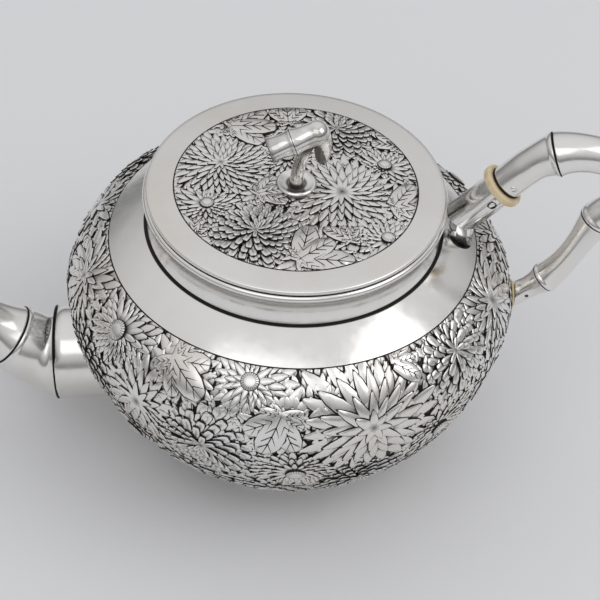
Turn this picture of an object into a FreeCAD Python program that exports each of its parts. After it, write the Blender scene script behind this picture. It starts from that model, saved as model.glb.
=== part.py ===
import FreeCAD, Part
import math
import os

V = FreeCAD.Vector

# Silver teapot: round chased body, lift-off lid, bamboo handle, spout and finial.
# Millimetres and degrees. The base stands on z = 0, the handle is towards +X and the spout towards -X.

# Body, a shell of revolution drawn with three tangent arcs
BODY_RADIUS = 66.4
BODY_WIDEST_Z = 56.6
BODY_WALL = 1.4
BELLY_ARC = 20.0
BELLY_LOW_ANGLE = 12.0
LOWER_ARC = 74.0
SHOULDER_ARC = 107.0
SHOULDER_WIDTH = 22.5
SHOULDER_RISE = 25.2

# Foot ring under the body
FOOT_HEIGHT = 4.0
FOOT_LIP = 1.2
FOOT_SPREAD = 1.6
FOOT_TREAD = 3.0
FOOT_SET_IN = 0.6
FOOT_TOP_WIDTH = 3.0
FOOT_COVE = (0.3, 0.35)

# Collar on the mouth and the bead on the collar
COLLAR_SET_IN = 0.5
COLLAR_HOLLOW = 1.0
COLLAR_WALL = 1.4
COLLAR_HEIGHT = 9.1
BEAD_PROUD = 1.4
BEAD_HEIGHT = 2.5

# Lid
LID_OVERHANG = 0.6
LID_EDGE = 1.3
LID_DOME = 1.8
LID_ROUND = 0.5
LID_GAP = 0.3
LID_LAND = 7.0
BEZEL_CLEARANCE = 0.6
BEZEL_WALL = 1.4
BEZEL_DEPTH = 6.7

# Finial on the lid
WASHER_RADIUS = 6.0
WASHER_HEIGHT = 1.3
WASHER_SEAT = 0.5
STEM_RADIUS = 2.1
STEM_WAIST_RADIUS = 1.9
STEM_TOP_RADIUS = 2.6
STEM_HEIGHT = 14.6
STEM_LEAN = 3.6
STEM_TOP_HEADING = 72.0
SPIGOT_RADIUS = 1.5
NUT_RADIUS = 3.4
NUT_HEIGHT = 2.3
CANE_TURN = 14.0
CANE_RISE_ANGLE = 19.0
CANE_SINK = 0.8
CANE_LEFT = 13.0
CANE_RIGHT = 1.6
CANE_CUT_RADIUS = 3.9
CANE_WAIST_RADIUS = 3.5
CANE_NODE_RADIUS = 4.1
CANE_NODE_SHARE = 0.5
ELBOW_RADIUS = 3.8
BRANCH_DROP = 10.4
BRANCH_SPREAD = 2.4
BRANCH_BEND = 50.0
BRANCH_TIP_HEADING = -80.0
BRANCH_TIP_RADIUS = 1.8

# Upper end of the handle: post on the shoulder, mitred socket, insulator
POST_RADIUS = 3.7
POST_STANDOFF = 5.8
POST_HEIGHT = 5.5
SOCKET_RADIUS = 5.2
SOCKET_LENGTH = 14.7
SOCKET_ANGLE = 49.4
INSULATOR_RADIUS = 6.9
INSULATOR_WIDTH = 2.4
GROOVE_WIDTH = 0.5
GROOVE_DEPTH = 0.8
TENON_RADIUS = 2.8
TENON_LENGTH = 5.0
PIN_RADIUS = 1.0
PIN_INSET = 2.6

# Handle nodes, measured from the widest circle of the body
NODE_1 = (8.2, 56.2)
NODE_2 = (32.0, 44.8)
NODE_3 = (22.4, 31.7)
NODE_4 = (9.2, 7.4)
NODE_HEADINGS = (20.0, -98.0, -116.0, -133.0)
NODE_RADII = (6.7, 6.3, 5.5, 4.7)
WAIST_RADII = (5.2, 5.4, 4.7, 3.9, 3.4)

# Lower end of the handle: peg on the wall, insulating sleeve with a flange that follows the wall
LOWER_DROP = 0.4
LOWER_ANGLE = 36.0
LOWER_RADIUS = 3.4
FLANGE_PROUD = 0.2
FLANGE_THICKNESS = 0.9
PEG_RADIUS = 1.3
SLEEVE_RADIUS = 2.2
SLEEVE_LENGTH = 8.0
LOWER_PIN_RADIUS = 0.6
LOWER_PIN_INSET = 5.4

# Spout: hole and strainer in the wall, then four bamboo sections
SPOUT_ROOT_Z = 26.0
SPOUT_HOLE_RADIUS = 9.0
STRAINER_THICKNESS = 1.0
STRAINER_HOLE_RADIUS = 1.0
STRAINER_PITCH = 3.0
STRAINER_RINGS = 2
SPOUT_WALL = 1.1
SPOUT_LENGTHS = (15.4, 16.0, 30.0, 40.5)
SPOUT_CHORDS = (-7.0, 24.0, 46.0, 62.0)
SPOUT_HEADINGS = (-8.0, -5.0, 36.0, 55.0, 72.0)
SPOUT_NODE_RADII = (15.4, 14.2, 9.7, 7.7, 6.5)
SPOUT_WAIST_RADII = (14.0, 11.0, 7.2, 5.9)

# Fits
FIT = 0.05
SOLDER_GAP = 0.05
BEND_REACH = 0.36
FLARE_SHARE = 0.16
FLARE_DEPTH = 0.55
SEAM_TOLERANCE = 0.001


def polar(degrees, length=1.0):
    """Vector of a length at an angle above +X, in the plane of the handle and spout."""
    angle = math.radians(degrees)
    return V(length * math.cos(angle), 0, length * math.sin(angle))


def revolve(edges):
    """Solid of revolution about Z from the closed outline in the XZ plane."""
    outline = Part.Wire(Part.sortEdges(edges)[0])
    return Part.Face(outline).revolve(V(0, 0, 0), V(0, 0, 1), 360)


def line(a, b):
    return Part.LineSegment(a, b).toShape()


def polyline(points):
    return [line(a, b) for a, b in zip(points, points[1:])]


def arc_through(a, middle, b):
    return Part.Arc(a, middle, b).toShape()


def arc_about(centre, radius, start, end):
    """Arc about a centre between two angles in the XZ plane."""
    points = [centre + polar(angle, radius) for angle in (start, (start + end) / 2, end)]
    return arc_through(*points)


def round_wire(centre, heading, radius):
    """Circle square to a heading in the XZ plane, with its seam always on the same side."""
    circle = Part.Wire(Part.makeCircle(radius))
    circle.Placement = FreeCAD.Placement(centre, FreeCAD.Rotation(V(0, 1, 0), 90 - heading))
    return circle


def curve_point(start, start_heading, end, end_heading, share):
    """Point and heading on a smooth curve that leaves and arrives along two headings."""
    reach = BEND_REACH * (end - start).Length
    knots = (start, start + polar(start_heading, reach), end - polar(end_heading, reach), end)
    rest = 1 - share
    point = knots[0] * rest ** 3 + knots[1] * (3 * rest ** 2 * share)
    point = point + knots[2] * (3 * rest * share ** 2) + knots[3] * share ** 3
    slope = (knots[1] - knots[0]) * rest ** 2 + (knots[2] - knots[1]) * (2 * rest * share)
    slope = slope + (knots[3] - knots[2]) * share ** 2
    return point, math.degrees(math.atan2(slope.z, slope.x))


def cane_wires(start, start_heading, end, end_heading, start_radius, waist_radius, end_radius):
    """Round sections along a bend, waisted in the middle and flared at both nodes."""
    start_neck = start_radius + (waist_radius - start_radius) * FLARE_DEPTH
    end_neck = end_radius + (waist_radius - end_radius) * FLARE_DEPTH
    stations = (
        (0.0, start_radius),
        (FLARE_SHARE, start_neck),
        (0.5, waist_radius),
        (1 - FLARE_SHARE, end_neck),
        (1.0, end_radius),
    )
    wires = []
    for share, radius in stations:
        point, heading = curve_point(start, start_heading, end, end_heading, share)
        wires.append(round_wire(point, heading, radius))
    return wires


def bamboo(*ends_and_radii):
    """One solid length of cane between two nodes."""
    return Part.makeLoft(cane_wires(*ends_and_radii), True)


def hollow_bamboo(start, start_heading, end, end_heading, radii, wall):
    """One length of cane as a tube, open at both ends."""
    outer = cane_wires(start, start_heading, end, end_heading, *radii)
    inner = cane_wires(start, start_heading, end, end_heading, *[radius - wall for radius in radii])
    faces = Part.makeLoft(outer).Faces + Part.makeLoft(inner).Faces
    for outer_end, inner_end in ((outer[0], inner[0]), (outer[-1], inner[-1])):
        faces.append(Part.Face([outer_end, inner_end]))
    shell = Part.makeShell(faces)
    shell.sewShape()
    tube = Part.Solid(shell)
    tube.fix(SEAM_TOLERANCE, SEAM_TOLERANCE, SEAM_TOLERANCE)
    return tube


def half_space(point, normal):
    """Large block on the side of a plane that the normal points to."""
    size = 4 * BODY_RADIUS
    block = Part.makeBox(size, size, size, V(-size / 2, -size / 2, 0))
    block.Placement = FreeCAD.Placement(point, FreeCAD.Rotation(V(0, 0, 1), normal))
    return block


def turned(shape, degrees):
    copy = shape.copy()
    copy.rotate(V(0, 0, 0), V(0, 0, 1), degrees)
    return copy


def heading(vector):
    """Angle of a vector above +X, in the plane of the handle and spout."""
    return math.degrees(math.atan2(vector.z, vector.x))


# Body arcs: the belly about the widest circle, the shoulder tangent above it and the base below
mouth_radius = BODY_RADIUS - SHOULDER_WIDTH
mouth_z = BODY_WIDEST_Z + SHOULDER_RISE
belly_centre = V(BODY_RADIUS - BELLY_ARC, 0, BODY_WIDEST_Z)
lower_centre = belly_centre + polar(180 - BELLY_LOW_ANGLE, LOWER_ARC - BELLY_ARC)

# The shoulder's centre is where its arc both touches the belly's arc and passes through the mouth
to_mouth = V(mouth_radius, 0, mouth_z) - belly_centre
centre_gap = SHOULDER_ARC - BELLY_ARC
along = (centre_gap ** 2 - SHOULDER_ARC ** 2 + to_mouth.Length ** 2) / (2 * to_mouth.Length)
aside = math.sqrt(centre_gap ** 2 - along ** 2)
shoulder_centre = belly_centre + polar(heading(to_mouth), along) + polar(heading(to_mouth) + 90, aside)
belly_top_angle = heading(belly_centre - shoulder_centre)

collar_radius = mouth_radius - COLLAR_SET_IN
collar_waist = collar_radius - COLLAR_HOLLOW
collar_bore = collar_waist - COLLAR_WALL
bead_radius = collar_radius + BEAD_PROUD
lid_radius = collar_radius + LID_OVERHANG


def height_angle(centre, radius, z):
    """Angle at which an arc about a centre reaches a height, on its outer side."""
    return math.degrees(math.asin((z - centre.z) / radius))


def side_edges(inset):
    """The body's side from the mouth down to the base, set in from the outside."""
    shoulder_radius = SHOULDER_ARC - inset
    lower_radius = LOWER_ARC - inset
    mouth_angle = height_angle(shoulder_centre, shoulder_radius, mouth_z)
    base_angle = height_angle(lower_centre, lower_radius, FOOT_HEIGHT + inset)
    shoulder = arc_about(shoulder_centre, shoulder_radius, mouth_angle, belly_top_angle)
    belly = arc_about(belly_centre, BELLY_ARC - inset, belly_top_angle, -BELLY_LOW_ANGLE)
    lower = arc_about(lower_centre, lower_radius, -BELLY_LOW_ANGLE, base_angle)
    top = shoulder_centre + polar(mouth_angle, shoulder_radius)
    base = lower_centre + polar(base_angle, lower_radius)
    return [shoulder, belly, lower], top, base


def filled_body(outset):
    """The body's outside as one full solid, a little larger by the outset."""
    side, top, base = side_edges(-outset)
    ends = [base, V(0, 0, base.z), V(0, 0, top.z), top]
    return revolve(side + polyline(ends))


def lower_wall(z):
    """Point and outward heading of the body's outside at a height below its widest circle."""
    angle = height_angle(lower_centre, LOWER_ARC, z)
    return lower_centre + polar(angle, LOWER_ARC), angle


root_wall, root_normal = lower_wall(SPOUT_ROOT_Z)
solder_body = filled_body(SOLDER_GAP)


def make_body_shell():
    outer, outer_top, outer_base = side_edges(0)
    inner, inner_top, inner_base = side_edges(BODY_WALL)
    base = [outer_base, V(0, 0, outer_base.z), V(0, 0, inner_base.z), inner_base]
    shell = revolve(outer + polyline(base) + inner + [line(inner_top, outer_top)])
    hole_start = root_wall - polar(root_normal, SPOUT_HOLE_RADIUS)
    hole = Part.makeCylinder(SPOUT_HOLE_RADIUS, 2 * SPOUT_HOLE_RADIUS, hole_start, polar(root_normal))
    return shell.cut(turned(hole, 180))


def make_foot_ring():
    base = side_edges(0)[2]
    top_outer = base.x - FOOT_SET_IN
    outer = base.x + FOOT_SPREAD
    cove_start = V(top_outer, 0, FOOT_HEIGHT)
    cove_end = V(outer, 0, FOOT_LIP)
    cove_middle = V(top_outer + FOOT_COVE[0] * FOOT_SPREAD, 0, FOOT_LIP + FOOT_COVE[1] * (FOOT_HEIGHT - FOOT_LIP))
    rest = [cove_end, V(outer, 0, 0), V(outer - FOOT_TREAD, 0, 0)]
    rest += [V(top_outer - FOOT_TOP_WIDTH, 0, FOOT_HEIGHT), cove_start]
    return revolve([arc_through(cove_start, cove_middle, cove_end)] + polyline(rest))


collar_top = mouth_z + COLLAR_HEIGHT
bead_top = collar_top + BEAD_HEIGHT
lid_under = bead_top + LID_GAP
lid_edge_top = lid_under + LID_EDGE
lid_top = lid_edge_top + LID_DOME


def make_collar():
    foot = V(collar_radius, 0, mouth_z)
    waist = V(collar_waist, 0, mouth_z + COLLAR_HEIGHT / 2)
    head = V(collar_radius, 0, collar_top)
    bore = [head, V(collar_bore, 0, collar_top), V(collar_bore, 0, mouth_z), foot]
    return revolve([arc_through(foot, waist, head)] + polyline(bore))


def make_collar_bead():
    low = V(collar_radius, 0, collar_top)
    high = V(collar_radius, 0, bead_top)
    crown = V(bead_radius, 0, collar_top + BEAD_HEIGHT / 2)
    bore = [high, V(collar_bore, 0, bead_top), V(collar_bore, 0, collar_top), low]
    return revolve([arc_through(low, crown, high)] + polyline(bore))


washer_seat_z = lid_top + WASHER_SEAT
nut_top = lid_under + LID_DOME
hole_radius = SPIGOT_RADIUS + FIT


def dome_arc(inner, outer):
    """Shallow arc between two points of a dome that is level at its inner end."""
    drop = inner.z - outer.z
    middle = V((inner.x + outer.x) / 2, 0, outer.z + 0.75 * drop)
    return arc_through(inner, middle, outer)


def make_lid_plate():
    crown = V(WASHER_RADIUS, 0, lid_top)
    edge = V(lid_radius - LID_ROUND, 0, lid_edge_top)
    rim = V(lid_radius, 0, lid_edge_top - LID_ROUND)
    rim_middle = edge + V(0, 0, -LID_ROUND) + polar(45, LID_ROUND)
    land = V(lid_radius - LID_LAND, 0, lid_under)
    hollow = V(NUT_RADIUS + FIT, 0, nut_top)
    edges = [dome_arc(crown, edge), arc_through(edge, rim_middle, rim)]
    edges += polyline([rim, V(lid_radius, 0, lid_under), land])
    edges += [dome_arc(hollow, land)]
    edges += polyline([hollow, V(hole_radius, 0, nut_top), V(hole_radius, 0, lid_top), crown])
    return revolve(edges)


def make_lid_bezel():
    outer = collar_bore - BEZEL_CLEARANCE
    tube = Part.makeCylinder(outer, BEZEL_DEPTH, V(0, 0, lid_under - BEZEL_DEPTH))
    bore = Part.makeCylinder(outer - BEZEL_WALL, BEZEL_DEPTH, V(0, 0, lid_under - BEZEL_DEPTH))
    return tube.cut(bore)


def make_finial_washer():
    rim_top = lid_top + WASHER_HEIGHT
    seat = V(STEM_RADIUS + FIT, 0, washer_seat_z)
    lip = V(WASHER_RADIUS - WASHER_HEIGHT / 2, 0, rim_top)
    edge = V(WASHER_RADIUS, 0, rim_top - WASHER_HEIGHT / 2)
    dish = V((seat.x + lip.x) / 2, 0, seat.z + 0.3 * (lip.z - seat.z))
    shoulder = V(WASHER_RADIUS - 0.2 * WASHER_HEIGHT, 0, rim_top - 0.2 * WASHER_HEIGHT)
    under = V(WASHER_RADIUS - WASHER_HEIGHT / 2, 0, lid_top)
    edges = [arc_through(seat, dish, lip), arc_through(lip, shoulder, edge)]
    edges += polyline([edge, under, V(hole_radius, 0, lid_top), V(hole_radius, 0, washer_seat_z), seat])
    return revolve(edges)


stem_end = V(STEM_LEAN, 0, washer_seat_z + STEM_HEIGHT)
cane_centre = stem_end + V(0, 0, CANE_NODE_RADIUS * CANE_SINK)


def make_cane(extra):
    """Thick cane with one node and a cut branch hanging at its right end, grown by extra."""
    left = cane_centre - polar(CANE_RISE_ANGLE, CANE_LEFT)
    right = cane_centre + polar(CANE_RISE_ANGLE, CANE_RIGHT)
    node = left + (right - left) * CANE_NODE_SHARE
    cut = CANE_CUT_RADIUS + extra
    waist = CANE_WAIST_RADIUS + extra
    swell = CANE_NODE_RADIUS + extra
    left_length = bamboo(left, CANE_RISE_ANGLE, node, CANE_RISE_ANGLE, cut, waist, swell)
    elbow = ELBOW_RADIUS + extra
    right_length = bamboo(node, CANE_RISE_ANGLE, right, CANE_RISE_ANGLE, swell, waist, elbow)
    branch_tip = right + V(BRANCH_SPREAD, 0, -BRANCH_DROP)
    branch_waist = (CANE_WAIST_RADIUS + BRANCH_TIP_RADIUS) / 2 + extra
    tip = BRANCH_TIP_RADIUS + extra
    branch = bamboo(right, CANE_RISE_ANGLE - BRANCH_BEND, branch_tip, BRANCH_TIP_HEADING,
                    waist, branch_waist, tip)
    knuckle = Part.makeSphere(elbow, right)
    return left_length.fuse([right_length, branch, knuckle]).removeSplitter()


def make_finial_cane():
    return turned(make_cane(0), CANE_TURN)


def make_finial_stem():
    foot = V(0, 0, washer_seat_z)
    stem = bamboo(foot, 90, cane_centre, STEM_TOP_HEADING, STEM_RADIUS, STEM_WAIST_RADIUS, STEM_TOP_RADIUS)
    stem = stem.cut(make_cane(SOLDER_GAP))
    spigot_base = V(0, 0, nut_top - NUT_HEIGHT)
    spigot = Part.makeCylinder(SPIGOT_RADIUS, washer_seat_z - spigot_base.z, spigot_base)
    return turned(stem.fuse(spigot), CANE_TURN)


def make_finial_nut():
    base = V(0, 0, nut_top - NUT_HEIGHT)
    nut = Part.makeCylinder(NUT_RADIUS, NUT_HEIGHT, base)
    return nut.cut(Part.makeCylinder(hole_radius, NUT_HEIGHT, base))


# Handle places: the mitre over the post, the socket's axis and the lower joint on the wall
post_x = collar_radius + POST_STANDOFF
mitre = V(post_x, 0, mouth_z + POST_HEIGHT)
socket_axis = polar(SOCKET_ANGLE)
socket_end = mitre + socket_axis * SOCKET_LENGTH
upper_start = socket_end + socket_axis * (INSULATOR_WIDTH + 2 * GROOVE_WIDTH)
mitre_normal = polar((90 + SOCKET_ANGLE) / 2)
lower_axis = polar(LOWER_ANGLE)
widest = V(BODY_RADIUS, 0, BODY_WIDEST_Z)
lower_joint = widest - V(0, 0, LOWER_DROP)
flange_body = filled_body(SOLDER_GAP + FLANGE_THICKNESS)
cane_end_body = filled_body(2 * SOLDER_GAP + FLANGE_THICKNESS)
nodes = [widest + V(x, 0, z) for x, z in (NODE_1, NODE_2, NODE_3, NODE_4)]


def pin(centre, radius, tube_radius):
    """Cross pin through a tube, flush on both sides."""
    return Part.makeCylinder(radius, 2 * tube_radius, centre - V(0, tube_radius, 0), V(0, 1, 0))


def pin_hole(centre, radius, tube_radius):
    reach = tube_radius + radius
    return Part.makeCylinder(radius + FIT, 2 * reach, centre - V(0, reach, 0), V(0, 1, 0))


def bore(start, axis, radius, depth):
    return Part.makeCylinder(radius + FIT, depth + FIT, start, axis)


upper_pins = (socket_end - socket_axis * PIN_INSET, upper_start + socket_axis * PIN_INSET)
lower_pin = lower_joint + lower_axis * LOWER_PIN_INSET


def make_handle_post():
    base = V(post_x, 0, BODY_WIDEST_Z)
    post = Part.makeCylinder(POST_RADIUS, mitre.z + SOCKET_RADIUS - base.z, base)
    return post.cut(half_space(mitre, mitre_normal)).cut(solder_body)


def make_upper_socket():
    start = mitre - socket_axis * SOCKET_RADIUS
    tube = Part.makeCylinder(SOCKET_RADIUS, SOCKET_LENGTH + SOCKET_RADIUS, start, socket_axis)
    tube = tube.cut(half_space(mitre, -mitre_normal))
    tube = tube.cut(bore(socket_end, -socket_axis, TENON_RADIUS, TENON_LENGTH))
    return tube.cut(pin_hole(upper_pins[0], PIN_RADIUS, SOCKET_RADIUS))


def insulator(start, axis, radius, width, groove, groove_radius, tenon, first_length, last_length):
    """Ring with a shallow groove each side and a tenon into the piece before and after it."""
    ring = Part.makeCylinder(radius, width, start + axis * groove, axis)
    ring = ring.makeFillet(width * 0.3, [edge for edge in ring.Edges if len(edge.Vertexes) == 1])
    neck = Part.makeCylinder(groove_radius, width + 2 * groove, start, axis)
    length = first_length + width + 2 * groove + last_length
    return ring.fuse([neck, Part.makeCylinder(tenon, length, start - axis * first_length, axis)])


def make_upper_insulator():
    groove_radius = SOCKET_RADIUS - GROOVE_DEPTH
    ring = insulator(socket_end, socket_axis, INSULATOR_RADIUS, INSULATOR_WIDTH, GROOVE_WIDTH,
                     groove_radius, TENON_RADIUS, TENON_LENGTH, TENON_LENGTH)
    for centre in upper_pins:
        ring = ring.cut(pin_hole(centre, PIN_RADIUS, SOCKET_RADIUS))
    return ring


def make_lower_insulator():
    """Sleeve over the peg and inside the cane, with a thin flange between the cane and the wall."""
    inside = lower_joint - lower_axis * LOWER_RADIUS
    flange = Part.makeCylinder(LOWER_RADIUS + FLANGE_PROUD, 4 * LOWER_RADIUS, inside, lower_axis)
    sleeve = Part.makeCylinder(SLEEVE_RADIUS, LOWER_RADIUS + SLEEVE_LENGTH, inside, lower_axis)
    ring = flange.common(flange_body).fuse(sleeve).cut(solder_body)
    ring = ring.cut(bore(inside, lower_axis, PEG_RADIUS, LOWER_RADIUS + SLEEVE_LENGTH))
    return ring.cut(pin_hole(lower_pin, LOWER_PIN_RADIUS, LOWER_RADIUS))


def make_lower_peg():
    inside = lower_joint - lower_axis * LOWER_RADIUS
    peg = Part.makeCylinder(PEG_RADIUS, LOWER_RADIUS + SLEEVE_LENGTH, inside, lower_axis)
    return peg.cut(solder_body).cut(pin_hole(lower_pin, LOWER_PIN_RADIUS, LOWER_RADIUS))


def make_handle_pins():
    pins = [pin(centre, PIN_RADIUS, SOCKET_RADIUS) for centre in upper_pins]
    pins.append(pin(lower_pin, LOWER_PIN_RADIUS, LOWER_RADIUS))
    return Part.makeCompound(pins)


def handle_sections():
    """The handle's five lengths of cane, from the upper insulator round to the lower one."""
    places = [upper_start] + nodes + [lower_joint]
    headings = (SOCKET_ANGLE,) + NODE_HEADINGS + (LOWER_ANGLE - 180,)
    radii = (SOCKET_RADIUS,) + NODE_RADII + (LOWER_RADIUS,)
    sections = []
    for i, waist in enumerate(WAIST_RADII):
        sections.append(bamboo(places[i], headings[i], places[i + 1], headings[i + 1],
                               radii[i], waist, radii[i + 1]))
    upper_bore = bore(upper_start, socket_axis, TENON_RADIUS, TENON_LENGTH)
    lower_bore = bore(lower_joint, lower_axis, SLEEVE_RADIUS, SLEEVE_LENGTH)
    sections[0] = sections[0].cut([upper_bore, pin_hole(upper_pins[1], PIN_RADIUS, SOCKET_RADIUS)])
    lower_hole = pin_hole(lower_pin, LOWER_PIN_RADIUS, LOWER_RADIUS)
    sections[-1] = sections[-1].cut(cane_end_body).cut([lower_bore, lower_hole])
    return sections


def spout_sections():
    """The spout's four hollow lengths of cane, from the wall to the tip, drawn along +X."""
    places = [root_wall]
    for length, chord in zip(SPOUT_LENGTHS, SPOUT_CHORDS):
        places.append(places[-1] + polar(chord, length))
    start_reach = 2 * SPOUT_NODE_RADII[0]
    places[0] = root_wall - polar(SPOUT_HEADINGS[0], start_reach)
    sections = []
    for i, waist in enumerate(SPOUT_WAIST_RADII):
        radii = (SPOUT_NODE_RADII[i], waist, SPOUT_NODE_RADII[i + 1])
        sections.append(hollow_bamboo(places[i], SPOUT_HEADINGS[i], places[i + 1], SPOUT_HEADINGS[i + 1],
                                      radii, SPOUT_WALL))
    sections[0] = sections[0].cut(solder_body)
    return [turned(section, 180) for section in sections]


def make_strainer_plate():
    """Pierced disc set in the hole of the wall, with rings of holes about a middle one."""
    axis = polar(root_normal)
    centre = root_wall - axis * (BODY_WALL / 2 + STRAINER_THICKNESS / 2)
    plate = Part.makeCylinder(SPOUT_HOLE_RADIUS - FIT, STRAINER_THICKNESS)
    holes = [Part.makeCylinder(STRAINER_HOLE_RADIUS, STRAINER_THICKNESS)]
    for ring in range(1, STRAINER_RINGS + 1):
        count = 6 * ring
        for k in range(count):
            place = V(ring * STRAINER_PITCH, 0, 0)
            hole = Part.makeCylinder(STRAINER_HOLE_RADIUS, STRAINER_THICKNESS, place)
            holes.append(turned(hole, 360 * k / count))
    plate = plate.cut(holes)
    plate.Placement = FreeCAD.Placement(centre, FreeCAD.Rotation(V(0, 0, 1), axis))
    return turned(plate, 180)


def main():
    parts = {
        "body_shell": make_body_shell(),
        "foot_ring": make_foot_ring(),
        "collar": make_collar(),
        "collar_bead": make_collar_bead(),
        "strainer_plate": make_strainer_plate(),
        "handle_post": make_handle_post(),
        "upper_socket": make_upper_socket(),
        "upper_insulator": make_upper_insulator(),
        "lower_insulator": make_lower_insulator(),
        "lower_peg": make_lower_peg(),
        "handle_pins": make_handle_pins(),
        "lid_plate": make_lid_plate(),
        "lid_bezel": make_lid_bezel(),
        "finial_washer": make_finial_washer(),
        "finial_stem": make_finial_stem(),
        "finial_cane": make_finial_cane(),
        "finial_nut": make_finial_nut(),
    }
    spout_names = ("spout_root", "spout_lower", "spout_middle", "spout_tip")
    parts.update(zip(spout_names, spout_sections()))
    handle_names = ("handle_upper_section", "handle_top_bend", "handle_outer_section",
                    "handle_back_section", "handle_lower_section")
    parts.update(zip(handle_names, handle_sections()))

    os.makedirs("parts", exist_ok=True)
    for name, shape in parts.items():
        shape.exportStep(os.path.join("parts", name + ".step"))
        box = shape.BoundBox
        print(name, len(shape.Solids), shape.isValid(), round(shape.Volume, 1),
              [round(v, 1) for v in (box.XMin, box.XMax, box.YMin, box.YMax, box.ZMin, box.ZMax)])


main()
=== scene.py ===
import bpy
import bmesh
import math
import random
import numpy as np
from mathutils import Matrix, Vector


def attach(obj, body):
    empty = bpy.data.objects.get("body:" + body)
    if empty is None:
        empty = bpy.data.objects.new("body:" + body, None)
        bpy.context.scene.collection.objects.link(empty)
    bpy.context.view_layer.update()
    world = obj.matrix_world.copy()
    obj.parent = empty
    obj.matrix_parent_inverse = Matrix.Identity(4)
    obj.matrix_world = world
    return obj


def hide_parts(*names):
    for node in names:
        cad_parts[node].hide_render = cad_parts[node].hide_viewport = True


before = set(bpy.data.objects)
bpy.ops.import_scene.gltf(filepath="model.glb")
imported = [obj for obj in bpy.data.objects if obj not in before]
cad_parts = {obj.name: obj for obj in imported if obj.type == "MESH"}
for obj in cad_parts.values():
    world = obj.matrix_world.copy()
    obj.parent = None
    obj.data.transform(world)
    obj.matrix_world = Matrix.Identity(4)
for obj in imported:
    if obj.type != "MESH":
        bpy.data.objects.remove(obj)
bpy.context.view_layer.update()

# Sizes in millimetres and degrees, most of them as in the part's source; MM turns them into metres
MM = 0.001
BODY_RADIUS = 66.4
BODY_WIDEST_Z = 56.6
BODY_WALL = 1.4
BELLY_ARC = 20.0
BELLY_LOW_ANGLE = 12.0
LOWER_ARC = 74.0
SHOULDER_ARC = 107.0
SHOULDER_WIDTH = 22.5
SHOULDER_RISE = 25.2
FOOT_HEIGHT = 4.0
COLLAR_SET_IN = 0.5
COLLAR_HOLLOW = 1.0
COLLAR_WALL = 1.4
COLLAR_HEIGHT = 9.1
BEAD_PROUD = 1.4
BEAD_HEIGHT = 2.5
LID_OVERHANG = 0.6
LID_EDGE = 1.3
LID_DOME = 1.8
LID_ROUND = 0.5
LID_CORNER = 0.15
LID_LOWER_CORNER = (0.2, 0.25)
LID_GAP = 0.3
LID_LAND = 7.0
NUT_RADIUS = 3.4
WASHER_RADIUS = 6.0
WASHER_HEIGHT = 1.3
WASHER_SEAT = 0.5
SPIGOT_HOLE = 1.55
STEM_HEIGHT = 14.6
STEM_LEAN = 3.6
STEM_FOOT_RADIUS = 2.6
CANE_TURN = 14.0
CANE_RISE_ANGLE = 19.0
CANE_SINK = 0.8
CANE_LEFT = 13.0
CANE_RIGHT = 1.6
CANE_NODE_RADIUS = 4.1
CANE_NODE_SHARE = 0.5
POST_RADIUS = 3.7
POST_STANDOFF = 5.8
POST_HEIGHT = 5.5
SOCKET_RADIUS = 5.2
SOCKET_LENGTH = 14.7
SOCKET_ANGLE = 49.4
INSULATOR_RADIUS = 6.9
INSULATOR_WIDTH = 2.4
GROOVE_WIDTH = 0.5
HANDLE_NODES = ((8.2, 56.2), (32.0, 44.8), (22.4, 31.7), (9.2, 7.4))
NODE_HEADINGS = (20.0, -98.0, -116.0, -133.0)
NODE_RADII = (6.7, 6.3, 5.5, 4.7)
WAIST_RADII = (5.2, 5.4, 4.7, 3.9, 3.4)
PIN_RADIUS = 1.0
PIN_INSET = 2.6
LOWER_DROP = 0.4
LOWER_ANGLE = 36.0
LOWER_RADIUS = 3.4
LOWER_FLANGE = 1.0
LOWER_PIN_RADIUS = 0.6
LOWER_PIN_INSET = 5.4
SPOUT_ROOT_Z = 26.0
SPOUT_HOLE_RADIUS = 9.0
SPOUT_WALL = 1.1
SPOUT_LENGTHS = (15.4, 16.0, 30.0, 40.5)
SPOUT_CHORDS = (-7.0, 24.0, 46.0, 62.0)
SPOUT_HEADINGS = (-8.0, -5.0, 36.0, 55.0, 72.0)
SPOUT_NODE_RADII = (15.4, 14.2, 9.7, 7.7, 6.5)
SPOUT_WAIST_RADII = (14.0, 11.0, 7.2, 5.9)

# Bamboo: how far a bend reaches, the waist, the lip at each end and the ridge before the far node
BEND_REACH = 0.36
WAIST_POWER = 2.2
NODE_LIP = 0.35
LIP_DROP = 0.4
NODE_RIDGE = 1.3
RIDGE_HEIGHT = 0.18
LIP_FADE = 0.9
LIP_STATIONS = (0.0, 0.4, 1.0, 1.8)
RIDGE_STATIONS = (0.8, 1.0, 1.25)
RIDGE_END = 1.8

# Dark lines: half their thickness, and how far they lie from the edge that they follow; groove lines are
# painted shade
FINE_LINE = 0.13
GROOVE_SHADE_LINE = 0.42
GROOVE_SHADE_LINE_INSET = 0.25
POST_LINE = 0.3
POST_LINE_SPREAD = 1.06
SPOUT_LINE = 0.26
PIN_LINE = 0.12
PIN_LINE_SPREAD = 1.2
LOWER_PIN_LINE = 0.2
LOWER_PIN_LINE_SPREAD = 0.6

# Chased fields: their borders, the sunk ground and the height of the petals
SHOULDER_LINE_RADIUS = 54.5
SHOULDER_LINE_GAP = 0.12
CHASED_DEPTH = 88.0
MEDALLION_RADIUS = 35.8
MEDALLION_STEP = 0.3
GROUND_DEPTH = 0.5
GROUND_SLOPE = 0.8
WASHER_BORDER = 0.6
BORDER_GAP = 0.25
BORDER_LIFT = 0.05
BORDER_OVERRUN = 3.0
SPOUT_HOLE_MARGIN = 3.5
RELIEF = 0.5
SEED = 7

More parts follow.
